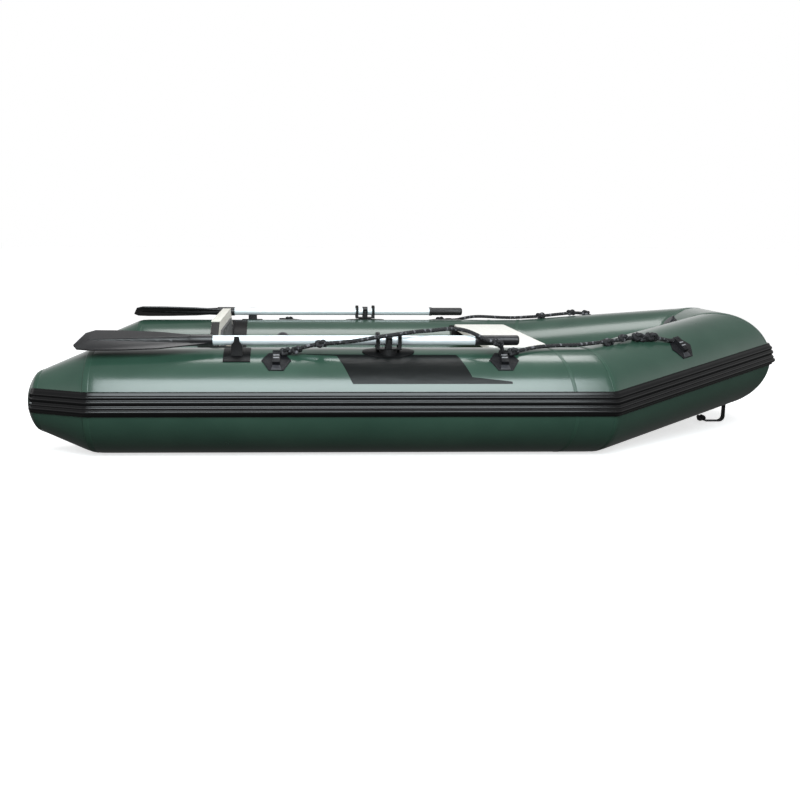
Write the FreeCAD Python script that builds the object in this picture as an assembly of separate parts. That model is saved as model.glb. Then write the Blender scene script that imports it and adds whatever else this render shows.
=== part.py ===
"""Three metre inflatable dinghy with oars, a thwart and a transom for a small outboard.

+X is forward, +Y is port, +Z is up. The origin is under the middle of the hull, on the
level that the undersides of the tubes lie on. All lengths are in millimetres.
"""
import FreeCAD, Part
import math
import os

V = FreeCAD.Vector

# Driving dimensions of the hull
TUBE_R = 200.0              # outer radius of the buoyancy tubes
WALL = 2.0                  # coated fabric with its seam tapes, as one wall
HALF_BEAM = 554.0           # side tube axis to the centre plane
SHOULDER_X = -1256.0        # where a side tube starts to taper
CONE_LENGTH = 212.0
CONE_END_R = 110.0
CAP_DEPTH = 38.0            # bulge of the closed stern end
KINK = V(616.0, -HALF_BEAM, TUBE_R)        # starboard axis where the bow turns inward
CORNER = V(1294.0, -122.0, 297.0)          # starboard axis where the nose begins
GAP = 0.3                   # air left between neighbours that do not share a flat face

# Oars
OAR_OUT = 60.0              # oar axis outboard of the tube axis
OAR_Y = HALF_BEAM + OAR_OUT
OAR_Z = 436.0
PIVOT_X = -152.5
SHAFT_R = 18.0
SHAFT_WALL = 1.5
SHAFT_JOINT_X = -420.0
BLADE_ROOT_X = -807.0
BLADE_TIP_X = -1309.0
BLADE_HALF = 75.0
BLADE_TILT = 22.0           # degrees, outer edge low
GRIP_X = (169.5, 334.5)
GRIP_R = 19.0
COLLAR_R = 24.0
TRUNNION_R = 5.0
CHEEK_Y = (25.0, 32.0)
YOKE_HALF = 47.0
YOKE_Z = (403.5, 407.5)
YOKE_TOP = 466.0
PIN_R = 8.0
STEM_LENGTH = 9.5
CLIP_X = -714.0

# Thwart, transom and floor
THWART_X = (266.0, 508.0)
THWART_HALF = 432.0
THWART_Z = (368.0, 390.0)
TRANSOM_X = (-835.0, -802.0)
TRANSOM_TOP = 473.0
TRANSOM_HALF_TOP = 301.0
FLOOR_Z = (30.0, 33.0)
SLAT_Z = (35.0, 49.0)
SLAT_LENGTH = 820.0
SLAT_WIDTH = 96.0
SLAT_PITCH = 112.0
SLAT_COUNT = 12
SLAT_START_X = -776.0
DRAIN_Y = 240.0
DRAIN_Z = 92.0
DRAIN_OUTER = 16.0
DRAIN_BORE = 12.0
PAD_THICK = 8.0
OUTER_PAD_HALF = 125.0
SCREW_HEAD_R = 6.5
SCREW_SINK = 3.3            # depth of the pad's counterbores

# Lifelines
ROPE_R = 6.0
ROPE_RIDE = 209.0           # rope centre line above a tube's axis
PATCH_ANGLE = 34.0
AFT_PATCH_X = -568.0
MID_PATCH_X = 271.0
BOW_PATCH_T = 0.49          # share of the bow tube's axis
BOW_PATCH_ANGLE = 46.0
PATCH_HALF = 55.0
ROPE_ANGLE = 23.5           # where the ropes meet the side patches' loops
BOW_ROPE_ANGLE = 35.5
LOOP_HALF = 14.0            # half length of a patch's rope loop along the tube
LOOP_LOW = 22.0             # reach of the loop below a patch's middle, round the tube
LOOP_HIGH = 46.0            # and above it
AFT_ROPE_END_X = 266.0      # where the starboard aft lifeline enters the mid patch's loop
AFT_ROPE_END_ANGLE = 26.0

# Valves and tow strap
TOW_X = 1414.0
STRAP_HALF = 17.5
STRAP_THICK = 3.0
VALVE_R = 30.0

SIDES = {"starboard": -1, "port": 1}


def mirrored(shape):
    """The same shape on the other side of the centre plane."""
    return shape.mirror(V(0, 0, 0), V(0, 1, 0))


def on_side(shape, side):
    """Starboard shapes are drawn first, and the port ones are their mirror images."""
    return shape if side < 0 else mirrored(shape)


def unit(vector):
    """Vector of length one."""
    copy = V(vector)
    return copy.normalize()


def cylinder(start, end, radius):
    """Round bar from one point to another."""
    return Part.makeCylinder(radius, (end - start).Length, start, unit(end - start))


def beyond(point, normal, size=3000.0):
    """Large block that fills the space past a plane, on the side of its normal."""
    block = Part.makeBox(size, size, size, V(-size / 2, -size / 2, 0))
    block.Placement = FreeCAD.Placement(point, FreeCAD.Rotation(V(0, 0, 1), normal))
    return block


def box(x, y, z):
    """Block between pairs of limits."""
    return Part.makeBox(x[1] - x[0], y[1] - y[0], z[1] - z[0], V(x[0], y[0], z[0]))


def prism(points, direction):
    """Flat outline pushed along a vector."""
    return Part.Face(Part.makePolygon(list(points) + [points[0]])).extrude(direction)


# ---------------------------------------------------------------- hull axes and mitres
BOW_DIR = unit(CORNER - KINK)
NOSE_DIR = V(0, 1, 0)
KINK_NORMAL = unit(V(1, 0, 0) + BOW_DIR)
CORNER_NORMAL = unit(BOW_DIR + NOSE_DIR)
AHEAD_TURN = FreeCAD.Rotation(V(1, 0, 0), BOW_DIR)
NOSE_TURN = FreeCAD.Rotation(BOW_DIR, NOSE_DIR)


def on_tube(along, angle, radius):
    """Point over the starboard side tube, its angle measured outboard from the crest."""
    turn = math.radians(angle)
    return V(along, -HALF_BEAM - radius * math.sin(turn), TUBE_R + radius * math.cos(turn))


def on_bow(share, angle, radius):
    """Point over the starboard bow tube, share of its axis from the kink to the corner."""
    turn = math.radians(angle)
    out = AHEAD_TURN.multVec(V(0, -1, 0))
    up = AHEAD_TURN.multVec(V(0, 0, 1))
    return KINK + (CORNER - KINK) * share + out * (radius * math.sin(turn)) + up * (radius * math.cos(turn))


def bow_solid(radius):
    """Starboard bow tube as a full bar with both mitres cut."""
    bar = cylinder(KINK - BOW_DIR * 300, CORNER + BOW_DIR * 400, radius)
    return bar.cut(beyond(KINK, KINK_NORMAL * -1)).cut(beyond(CORNER, CORNER_NORMAL))


def side_solid(radius):
    """Starboard side tube as a full bar."""
    bar = cylinder(V(SHOULDER_X, -HALF_BEAM, TUBE_R), KINK + V(300, 0, 0), radius)
    return bar.cut(beyond(KINK, KINK_NORMAL))


def nose_solid(radius):
    """Bow tip tube between the two corner mitres."""
    port_corner = V(CORNER.x, -CORNER.y, CORNER.z)
    port_normal = V(CORNER_NORMAL.x, -CORNER_NORMAL.y, CORNER_NORMAL.z)
    bar = cylinder(CORNER - V(0, 400, 0), port_corner + V(0, 400, 0), radius)
    return bar.cut(beyond(CORNER, CORNER_NORMAL * -1)).cut(beyond(port_corner, port_normal * -1))


def stern_solid(inset):
    """Starboard stern cone with its domed end, drawn in by an inset."""
    foot = V(SHOULDER_X, -HALF_BEAM, TUBE_R)
    end_r = CONE_END_R - inset
    cone = Part.makeCone(TUBE_R - inset, end_r, CONE_LENGTH, foot, V(-1, 0, 0))
    dome_r = (CONE_END_R ** 2 + CAP_DEPTH ** 2) / (2 * CAP_DEPTH) - inset
    depth = dome_r - math.sqrt(dome_r ** 2 - end_r ** 2)
    centre = foot + V(-CONE_LENGTH - depth + dome_r, 0, 0)
    dome = Part.makeSphere(dome_r, centre).common(beyond(foot - V(CONE_LENGTH, 0, 0), V(-1, 0, 0)))
    return cone.fuse(dome).removeSplitter()


def side_tube():
    """Straight starboard chamber wall from the stern shoulder to the kink."""
    return side_solid(TUBE_R).cut(side_solid(TUBE_R - WALL))


def bow_tube():
    """Starboard chamber wall of the rising bow, from the kink to the corner."""
    return bow_solid(TUBE_R).cut(bow_solid(TUBE_R - WALL))


def nose_tube():
    """Chamber wall across the bow between the two corners."""
    return nose_solid(TUBE_R).cut(nose_solid(TUBE_R - WALL))


def stern_cone():
    """Tapered chamber wall that closes the starboard tube astern."""
    return stern_solid(0).cut(stern_solid(WALL))


def chamber_baffles():
    """Walls inside the tubes that part the air into three chambers."""
    discs = []
    for side in SIDES.values():
        foot = V(420, side * HALF_BEAM, TUBE_R)
        discs.append(Part.makeCylinder(TUBE_R - WALL - GAP, 1.0, foot, V(1, 0, 0)))
    return Part.makeCompound(discs)


def hull_bottom():
    """Bottom fabric between the tubes, flat to the kink and rising with the bow."""
    reach = math.sqrt(TUBE_R ** 2 - (TUBE_R - FLOOR_Z[1]) ** 2)
    half = HALF_BEAM - reach - 2.0
    rise = (CORNER.z - KINK.z) / (CORNER.x - KINK.x)
    narrowing = (CORNER.y - KINK.y) / (CORNER.x - KINK.x)
    tip_x = CORNER.x - reach - 25.0
    start_x = KINK.x - 25.0
    tip_half = half - 12.0 - narrowing * (tip_x - start_x)
    thick = V(0, 0, FLOOR_Z[1] - FLOOR_Z[0])
    flat = prism([V(TRANSOM_X[0], -half, FLOOR_Z[0]), V(start_x, -half, FLOOR_Z[0]),
                  V(start_x, half, FLOOR_Z[0]), V(TRANSOM_X[0], half, FLOOR_Z[0])], thick)
    tip_z = FLOOR_Z[0] + rise * (tip_x - start_x)
    ramp = prism([V(start_x, -half + 12, FLOOR_Z[0]), V(tip_x, -tip_half, tip_z),
                  V(tip_x, tip_half, tip_z), V(start_x, half - 12, FLOOR_Z[0])], thick)
    return flat.fuse(ramp).removeSplitter()


def floor_slats():
    """Plywood slats of the roll-up floor."""
    slats = []
    for index in range(SLAT_COUNT):
        x = SLAT_START_X + index * SLAT_PITCH
        slat = box((x, x + SLAT_WIDTH), (-SLAT_LENGTH / 2, SLAT_LENGTH / 2), SLAT_Z)
        corners = [edge for edge in slat.Edges
                   if abs(edge.Vertexes[0].Z - edge.Vertexes[-1].Z) > 1]
        slats.append(slat.makeFillet(12.0, corners))
    return Part.makeCompound(slats)


# ---------------------------------------------------------------- rub strake
def strake_profile(base, out, up):
    """Ribbed rubber section, from 24 below to 64 above the tube's widest line."""
    outline = [(-30, -24), (2, -24), (5, -18), (11, -15), (12, -8), (11, -2), (7, 1), (8, 4), (8, 9),
               (3, 14), (3, 16), (7, 21), (7, 28), (2, 35), (2, 37), (4, 41), (4, 46), (1, 50),
               (1, 64), (-30, 64)]
    points = [base + out * reach + up * height for reach, height in outline]
    return Part.Face(Part.makePolygon(points + [points[0]]))


def strake_run(start, direction, length, out, up, spare=60.0):
    """Strake section pushed along one straight stretch, with spare ends for mitres."""
    face = strake_profile(start - direction * spare, out, up)
    return face.extrude(direction * (length + 2 * spare))


def side_strake():
    """Straight starboard strake from the stern shoulder to the kink."""
    start = V(SHOULDER_X, -HALF_BEAM - TUBE_R, TUBE_R)
    run = strake_run(start, V(1, 0, 0), KINK.x - SHOULDER_X, V(0, -1, 0), V(0, 0, 1), 100.0)
    run = run.cut(beyond(KINK, KINK_NORMAL)).cut(beyond(start, stern_mitre() * -1))
    behind = cylinder(V(SHOULDER_X - 60, -HALF_BEAM, TUBE_R), V(SHOULDER_X, -HALF_BEAM, TUBE_R), TUBE_R + GAP)
    return run.cut(side_solid(TUBE_R + GAP).fuse(behind))


def stern_line():
    """Direction of the cone's outermost line, running aft."""
    return unit(V(-CONE_LENGTH, TUBE_R - CONE_END_R, 0))


def stern_mitre():
    """Normal of the mitre plane at the shoulder, pointing forward."""
    return unit(V(1, 0, 0) - stern_line())


def stern_strake():
    """Strake along the cone to the stern end."""
    start = V(SHOULDER_X, -HALF_BEAM - TUBE_R, TUBE_R)
    line = stern_line()
    out = FreeCAD.Rotation(V(-1, 0, 0), line).multVec(V(0, -1, 0))
    length = math.hypot(CONE_LENGTH, TUBE_R - CONE_END_R)
    face = strake_profile(start - line * 60, out, V(0, 0, 1))
    run = face.extrude(line * (length + 64)).cut(beyond(start, stern_mitre()))
    cone = Part.makeCone(TUBE_R + 20 + GAP, CONE_END_R - 20 + GAP, CONE_LENGTH * 130.0 / 90.0,
                         V(SHOULDER_X + CONE_LENGTH * 20.0 / 90.0, -HALF_BEAM, TUBE_R), V(-1, 0, 0))
    return run.cut(cone)


def bow_strakes():
    """Strake along both bow tubes and round the nose, as three mitred lengths."""
    out = AHEAD_TURN.multVec(V(0, -1, 0))
    up = AHEAD_TURN.multVec(V(0, 0, 1))
    start = KINK + out * TUBE_R
    run = strake_run(start, BOW_DIR, (CORNER - KINK).Length, out, up, 200.0)
    run = run.cut(beyond(KINK, KINK_NORMAL * -1)).cut(beyond(CORNER, CORNER_NORMAL))
    run = run.cut(bow_full(TUBE_R + GAP))
    nose_out = NOSE_TURN.multVec(out)
    nose_up = NOSE_TURN.multVec(up)
    nose = strake_run(CORNER + nose_out * TUBE_R, NOSE_DIR, -2 * CORNER.y, nose_out, nose_up, 200.0)
    port_corner = V(CORNER.x, -CORNER.y, CORNER.z)
    port_normal = V(CORNER_NORMAL.x, -CORNER_NORMAL.y, CORNER_NORMAL.z)
    nose = nose.cut(beyond(CORNER, CORNER_NORMAL * -1)).cut(beyond(port_corner, port_normal * -1))
    nose = nose.cut(cylinder(CORNER - V(0, 400, 0), port_corner + V(0, 400, 0), TUBE_R + GAP))
    return Part.makeCompound([run, mirrored(run), nose])


def bow_full(radius):
    """Bow tube's round bar with no mitres, for cutting what lies on it."""
    return cylinder(KINK - BOW_DIR * 300, CORNER + BOW_DIR * 400, radius)


# ---------------------------------------------------------------- transom
def transom_board():
    """Plywood transom, cut to the tubes' inner flanks."""
    low = SLAT_Z[0] + 1
    outline = [(-460, low), (460, low), (460, 384), (TRANSOM_HALF_TOP, TRANSOM_TOP),
               (-TRANSOM_HALF_TOP, TRANSOM_TOP), (-460, 384)]
    board = prism([V(TRANSOM_X[0], y, z) for y, z in outline], V(TRANSOM_X[1] - TRANSOM_X[0], 0, 0))
    for side in SIDES.values():
        axis = V(TRANSOM_X[0] - 10, side * HALF_BEAM, TUBE_R)
        board = board.cut(Part.makeCylinder(TUBE_R + 5.5, 60.0, axis, V(1, 0, 0)))
    socket = V(TRANSOM_X[0] - 5, DRAIN_Y, DRAIN_Z)
    return board.cut(Part.makeCylinder(DRAIN_OUTER, 50.0, socket, V(1, 0, 0)))


def drain_socket():
    """Flanged sleeve through the transom for the drain plug."""
    start = V(TRANSOM_X[0] - 4, DRAIN_Y, DRAIN_Z)
    flange = Part.makeCylinder(24.0, 4.0, start, V(1, 0, 0))
    sleeve = Part.makeCylinder(DRAIN_OUTER - 0.05, 41.0, start, V(1, 0, 0))
    bore = Part.makeCylinder(DRAIN_BORE, 60.0, start - V(5, 0, 0), V(1, 0, 0))
    return flange.fuse(sleeve).cut(bore).removeSplitter()


def drain_plug():
    """Push-in plug with a finger grip on its head."""
    face = V(TRANSOM_X[0] - 4, DRAIN_Y, DRAIN_Z)
    stem = Part.makeCylinder(DRAIN_BORE - 0.1, 40.0, face - V(0.2, 0, 0), V(1, 0, 0))
    head = Part.makeCylinder(18.0, 6.0, face - V(6.2, 0, 0), V(1, 0, 0))
    grip = box((face.x - 18, face.x - 6.2), (DRAIN_Y - 3, DRAIN_Y + 3), (DRAIN_Z - 13, DRAIN_Z + 13))
    return stem.fuse(head).fuse(grip).removeSplitter()


def transom_cap():
    """Trim strip along the raised top edge of the transom."""
    return box((TRANSOM_X[0] - 2, TRANSOM_X[1] + 2), (-TRANSOM_HALF_TOP, TRANSOM_HALF_TOP),
               (TRANSOM_TOP, TRANSOM_TOP + 4))


def pad_outline(x, inset):
    """Corners of a motor pad, a little inside the transom's raised top."""
    top = TRANSOM_TOP - inset
    half = TRANSOM_HALF_TOP - inset
    return [V(x, -half - 45, 352), V(x, half + 45, 352), V(x, half + 45, top - 45),
            V(x, half, top), V(x, -half, top), V(x, -half - 45, top - 45)]


def motor_pad_inner():
    """Clamp pad on the forward face of the transom, with holes for its screws."""
    pad = prism(pad_outline(TRANSOM_X[1], 38.0), V(PAD_THICK, 0, 0))
    head_x = TRANSOM_X[1] + PAD_THICK - SCREW_SINK
    for y, z in screw_places():
        pad = pad.cut(Part.makeCylinder(3.0, PAD_THICK, V(TRANSOM_X[1], y, z), V(1, 0, 0)))
        pad = pad.cut(Part.makeCylinder(SCREW_HEAD_R + 0.2, SCREW_SINK, V(head_x, y, z), V(1, 0, 0)))
    return pad


def screw_places():
    """Centres of the screws that hold the inner pad."""
    return [(-286.0, 368.0), (286.0, 368.0), (-284.0, 391.0), (284.0, 391.0),
            (-110.0, 420.0), (110.0, 420.0)]


def motor_pad_screws():
    """Screws of the inner pad, their heads sunk just under its face."""
    screws = []
    head_x = TRANSOM_X[1] + PAD_THICK - SCREW_SINK
    for y, z in screw_places():
        shank = Part.makeCylinder(2.9, PAD_THICK - SCREW_SINK, V(TRANSOM_X[1], y, z), V(1, 0, 0))
        head = Part.makeCylinder(SCREW_HEAD_R, SCREW_SINK - 0.3, V(head_x, y, z), V(1, 0, 0))
        screws.append(shank.fuse(head).removeSplitter())
    return Part.makeCompound(screws)


def motor_pad_outer():
    """Wear pad on the aft face of the transom, where the motor bracket bears."""
    return box((TRANSOM_X[0] - PAD_THICK, TRANSOM_X[0]), (-OUTER_PAD_HALF, OUTER_PAD_HALF),
               (230.0, TRANSOM_TOP - 6))


def arc_band(x, inner, outer, start, end):
    """Part of a ring about the starboard side axis, angles from the crest outboard."""
    ring = Part.makeCylinder(outer, x[1] - x[0], V(x[0], -HALF_BEAM, TUBE_R), V(1, 0, 0))
    ring = ring.cut(Part.makeCylinder(inner, x[1] - x[0], V(x[0], -HALF_BEAM, TUBE_R), V(1, 0, 0)))
    far = 2.2 * outer
    middle = (start + end) / 2
    angles = [start, (start + middle) / 2, middle, (middle + end) / 2, end]
    rim = []
    for angle in angles:
        turn = math.radians(angle)
        rim.append(V(x[0], -HALF_BEAM - far * math.sin(turn), TUBE_R + far * math.cos(turn)))
    wedge = prism([V(x[0], -HALF_BEAM, TUBE_R)] + rim, V(x[1] - x[0], 0, 0))
    return ring.common(wedge)


def transom_holder():
    """Rubber channel glued to the tube that grips the transom's end."""
    strip = arc_band((TRANSOM_X[0] - 35, TRANSOM_X[1] + 68), TUBE_R + GAP, TUBE_R + 5.0, -141, -8)
    aft = arc_band((TRANSOM_X[0] - 7, TRANSOM_X[0] - GAP), TUBE_R + 4, TUBE_R + 34, -131, -28)
    fore = arc_band((TRANSOM_X[1] + GAP, TRANSOM_X[1] + 7), TUBE_R + 4, TUBE_R + 34, -131, -28)
    return strip.fuse(aft).fuse(fore).removeSplitter()


# ---------------------------------------------------------------- thwart
def thwart_board():
    """Seat board with rounded corners."""
    board = box(THWART_X, (-THWART_HALF, THWART_HALF), THWART_Z)
    upright = [edge for edge in board.Edges
               if abs(edge.Vertexes[0].Z - edge.Vertexes[-1].Z) > 1]
    board = board.makeFillet(14.0, upright)
    top = [edge for edge in board.Edges if edge.BoundBox.ZMin > THWART_Z[1] - 0.1]
    return board.makeFillet(4.0, top)


def thwart_bracket():
    """Rubber chock on the tube that the starboard end of the thwart sits in."""
    x = (THWART_X[0] - 18, THWART_X[1] + 18)
    block = box(x, (-470, -384), (322, THWART_Z[0]))
    stop = box(x, (-470, -THWART_HALF - GAP), (THWART_Z[0], THWART_Z[0] + 14))
    round_off = cylinder(V(x[0] - 5, -HALF_BEAM, TUBE_R), V(x[1] + 5, -HALF_BEAM, TUBE_R), TUBE_R + GAP)
    return block.fuse(stop).cut(round_off).removeSplitter()


# ---------------------------------------------------------------- oars
def oar_line(x):
    """Point on the starboard oar's axis."""
    return V(x, -OAR_Y, OAR_Z)


def shaft(start, end):
    """Thin tube of the oar's shaft between two places along it."""
    outer = cylinder(oar_line(start), oar_line(end), SHAFT_R)
    return outer.cut(cylinder(oar_line(start), oar_line(end), SHAFT_R - SHAFT_WALL))


def oar_spigot():
    """Inner sleeve that joins the two halves of the shaft."""
    outer = cylinder(oar_line(SHAFT_JOINT_X - 70), oar_line(SHAFT_JOINT_X + 70), SHAFT_R - SHAFT_WALL - 0.1)
    return outer.cut(cylinder(oar_line(SHAFT_JOINT_X - 70), oar_line(SHAFT_JOINT_X + 70), SHAFT_R - 4))


def oar_grip():
    """Hand grip closed over the shaft's end, with a collar at its mouth."""
    collar = cylinder(oar_line(GRIP_X[0]), oar_line(GRIP_X[0] + 12), GRIP_R + 2)
    body = cylinder(oar_line(GRIP_X[0]), oar_line(GRIP_X[1]), GRIP_R)
    rim = [edge for edge in body.Edges if edge.BoundBox.XMin > GRIP_X[1] - 0.5]
    body = body.makeFillet(9.0, rim)
    hollow = cylinder(oar_line(GRIP_X[0] - 5), oar_line(GRIP_X[1] - 25), SHAFT_R + 0.1)
    return body.fuse(collar).cut(hollow).removeSplitter()


def oar_blade():
    """Moulded blade with a slanted tip, a tapered spine and a socket over the shaft."""
    long = BLADE_ROOT_X - BLADE_TIP_X
    outline = [(-18, -26), (-60, -36), (-190, -64), (-330, -74), (-long + 63, -BLADE_HALF),
               (-long + 17, -68), (-long, -40), (-long + 28, 52), (-long + 61, BLADE_HALF),
               (-330, 73), (-190, 60), (-60, 34), (-18, 26)]
    plate = prism([V(x, y, -2.5) for x, y in outline], V(0, 0, 5.0))
    spine = Part.makeCone(SHAFT_R + 3.5, 4.0, long - 45, V(0, 0, 0), V(-1, 0, 0))
    socket = Part.makeCylinder(SHAFT_R + 3.5, 84.0, V(-80, 0, 0), V(1, 0, 0))
    blade = plate.fuse(spine).fuse(socket)
    blade = blade.cut(Part.makeCylinder(SHAFT_R + 0.1, 90.0, V(-80, 0, 0), V(1, 0, 0)))
    blade.rotate(V(0, 0, 0), V(1, 0, 0), BLADE_TILT)
    blade.translate(oar_line(BLADE_ROOT_X))
    return blade.removeSplitter()


def oar_collar():
    """Stop collar on the shaft, with the two trunnions that it rocks on."""
    sleeve = cylinder(oar_line(PIVOT_X - 12), oar_line(PIVOT_X + 12), COLLAR_R)
    pin = Part.makeCylinder(TRUNNION_R, 2 * CHEEK_Y[1], V(PIVOT_X, -OAR_Y - CHEEK_Y[1], OAR_Z), V(0, 1, 0))
    bore = cylinder(oar_line(PIVOT_X - 20), oar_line(PIVOT_X + 20), SHAFT_R + 0.05)
    return sleeve.fuse(pin).cut(bore).removeSplitter()


def oarlock_yoke():
    """Turning cradle: foot plate, two hoops round the shaft, trunnion cheeks and stem."""
    foot = box((-YOKE_HALF, YOKE_HALF), (-CHEEK_Y[1], CHEEK_Y[1]), YOKE_Z)
    yoke = foot
    for end in (-1, 1):
        x = sorted((end * YOKE_HALF, end * (YOKE_HALF - 13)))
        hoop = box(x, (-27, 27), (YOKE_Z[0], YOKE_TOP))
        edges = [edge for edge in hoop.Edges
                 if edge.BoundBox.ZMin > YOKE_TOP - 0.1 and edge.BoundBox.YLength < 0.1]
        hoop = hoop.makeFillet(20.0, edges)
        slot = box((x[0] - 1, x[1] + 1), (-19, 19), (408.5, 455 - 11))
        crown = Part.makeCylinder(19.0, x[1] - x[0] + 2, V(x[0] - 1, 0, 444), V(1, 0, 0))
        yoke = yoke.fuse(hoop.cut(slot).cut(crown))
        cheek = box((-11, 11), sorted((end * CHEEK_Y[0], end * CHEEK_Y[1])), (YOKE_Z[0], OAR_Z + 12))
        yoke = yoke.fuse(cheek)
    holes = Part.makeCylinder(TRUNNION_R + 0.08, 100.0, V(0, -50, OAR_Z), V(0, 1, 0))
    stem = Part.makeCylinder(PIN_R, STEM_LENGTH, V(0, 0, YOKE_Z[0] - STEM_LENGTH), V(0, 0, 1))
    yoke = yoke.cut(holes).fuse(stem).removeSplitter()
    yoke.translate(V(PIVOT_X, -OAR_Y, 0))
    return yoke


def oarlock_base():
    """Rubber mount glued on the tube, with an oval flange and the bush for the stem."""
    centre = math.degrees(math.asin(OAR_OUT / TUBE_R))
    band = arc_band((PIVOT_X - 97, PIVOT_X + 97), TUBE_R + GAP, TUBE_R + 4, centre - 12, centre + 12)
    oval = Part.Face(Part.Wire(Part.Ellipse(V(PIVOT_X, -OAR_Y, 300), 97, 41).toShape()))
    band = band.common(oval.extrude(V(0, 0, 200)))
    post = Part.makeCylinder(33.0, 40.8, V(PIVOT_X, -OAR_Y, 362), V(0, 0, 1))
    post = post.cut(side_solid(TUBE_R + GAP))
    bush = Part.makeCylinder(PIN_R + 0.06, 60.0, V(PIVOT_X, -OAR_Y, 350), V(0, 0, 1))
    return band.fuse(post).cut(bush).removeSplitter()


def oar_clip():
    """Glued rubber pad with a saddle under the shaft and a hook outboard of it."""
    pad = arc_band((CLIP_X - 50, CLIP_X + 50), TUBE_R + GAP, TUBE_R + 3.5, 4, 36)
    saddle = box((CLIP_X - 20, CLIP_X + 20), (-OAR_Y - 26, -OAR_Y + 14), (370, OAR_Z - SHAFT_R - 1.0))
    face_y = -OAR_Y - 30
    hook = prism([V(CLIP_X - 22, face_y, 370), V(CLIP_X + 22, face_y, 370), V(CLIP_X + 20, face_y, 422),
                  V(CLIP_X + 10, face_y, 434), V(CLIP_X + 9, face_y, 452), V(CLIP_X - 9, face_y, 452),
                  V(CLIP_X - 10, face_y, 434), V(CLIP_X - 20, face_y, 422)], V(0, 10.5, 0))
    clip = pad.fuse(saddle.fuse(hook).cut(side_solid(TUBE_R + GAP)))
    return clip.removeSplitter()


# ---------------------------------------------------------------- patches and ropes
def lifeline_patch(base, ahead, out):
    """Hexagonal patch on a tube with a raised webbing loop for the lifeline.

    base is on the tube's axis, ahead runs along it and out points through the patch.
    """
    across = ahead.cross(out)
    corners = []
    for step in range(6):
        turn = math.radians(60 * step)
        corners.append(base + out * 120 + ahead * (PATCH_HALF * math.cos(turn))
                       + across * (PATCH_HALF * math.sin(turn)))
    column = prism(corners, out * 120)
    far = ahead * 200
    ring = cylinder(base - far, base + far, TUBE_R + 2.8).cut(cylinder(base - far, base + far, TUBE_R + GAP))
    strap_outer = cylinder(base - ahead * LOOP_HALF, base + ahead * LOOP_HALF, ROPE_RIDE + ROPE_R + 2)
    strap = strap_outer.cut(cylinder(base - far, base + far, TUBE_R + 2.8))
    low = base + across * LOOP_LOW + out * 100
    high = base - across * LOOP_HIGH + out * 100
    lane = prism([low - far, low + far, high + far, high - far], out * 160)
    return column.common(ring).fuse(strap.common(lane)).removeSplitter()


def side_patch(x, angle):
    """Lifeline patch on the starboard side tube."""
    turn = math.radians(angle)
    out = V(0, -math.sin(turn), math.cos(turn))
    return lifeline_patch(V(x, -HALF_BEAM, TUBE_R), V(1, 0, 0), out)


def bow_patch():
    """Lifeline patch on the starboard bow tube."""
    base = KINK + (CORNER - KINK) * BOW_PATCH_T
    out = unit(on_bow(BOW_PATCH_T, BOW_PATCH_ANGLE, TUBE_R) - base)
    return lifeline_patch(base, BOW_DIR, out)


def rounded_path(points, label):
    """Straight runs joined by tangent arcs, each as large as its two runs allow."""
    edges = []
    radii = []
    cursor = points[0]
    for before, here, after in zip(points, points[1:], points[2:]):
        come = unit(here - before)
        leave = unit(after - here)
        turn = come.getAngle(leave)
        back = 0.45 * min((here - before).Length, (after - here).Length)
        radii.append(back / math.tan(turn / 2))
        enter = here - come * back
        leave_at = here + leave * back
        middle_dir = unit(leave - come)
        bulge = radii[-1] * (1 / math.cos(turn / 2) - 1)
        edges.append(Part.LineSegment(cursor, enter).toShape())
        edges.append(Part.Arc(enter, here + middle_dir * bulge, leave_at).toShape())
        cursor = leave_at
    edges.append(Part.LineSegment(cursor, points[-1]).toShape())
    wire = Part.Wire(edges)
    print(label, "length", round(wire.Length, 1), "least radius", round(min(radii), 1),
          "radii", [round(radius) for radius in radii])
    return wire


def rope(points, label):
    """Round rope along a rounded path."""
    path = rounded_path(points, label)
    start = Part.Wire(Part.Circle(points[0], unit(points[1] - points[0]), ROPE_R).toShape())
    tube = path.makePipeShell([start], True, False)
    ratio = tube.Volume / (math.pi * ROPE_R ** 2 * path.Length)
    print(label, "volume over section times length", round(ratio, 4), "closed", tube.isClosed())
    return tube


def starboard_aft_route():
    """From the aft patch outboard of the oar, over its lock and its loom, to the mid patch."""
    turn = math.radians(AFT_ROPE_END_ANGLE)
    end = on_tube(AFT_ROPE_END_X, AFT_ROPE_END_ANGLE, ROPE_RIDE + ROPE_R + 2.15)
    return [on_tube(AFT_PATCH_X + LOOP_HALF, ROPE_ANGLE, ROPE_RIDE), on_tube(-528, ROPE_ANGLE, ROPE_RIDE),
            V(-488, -642, 409), V(-421, -649, 425), V(-340, -657, 432), V(-267, -668, 441),
            V(-204, -677, 454), V(-145, -677, 462.5), V(-88, -663, 469), V(-41, -622, 470),
            V(15, -593, 470), V(66, -581, 475), V(107, -585, 476), V(140, -605, 471),
            V(170, -635, 460), V(200, -656, 444), V(234, -663, 431),
            end + V(0, -math.sin(turn), math.cos(turn)) * 24, end]


def port_aft_route():
    """Along the outer shoulder of the tube, drawn for starboard and mirrored."""
    return [on_tube(AFT_PATCH_X + LOOP_HALF, ROPE_ANGLE, ROPE_RIDE),
            on_tube(-526, ROPE_ANGLE, ROPE_RIDE), on_tube(-478, 27.5, 209.5), on_tube(-400, 35.0, 209.5),
            on_tube(-290, 33.5, 209.5), on_tube(-180, 36.0, 209.5), on_tube(-75, 33.0, 210.0),
            on_tube(30, 37.0, 209.5), on_tube(125, 33.0, 209.5), on_tube(190, 26.5, 209.5),
            on_tube(230, ROPE_ANGLE, ROPE_RIDE), on_tube(MID_PATCH_X - LOOP_HALF, ROPE_ANGLE, ROPE_RIDE)]


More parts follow.
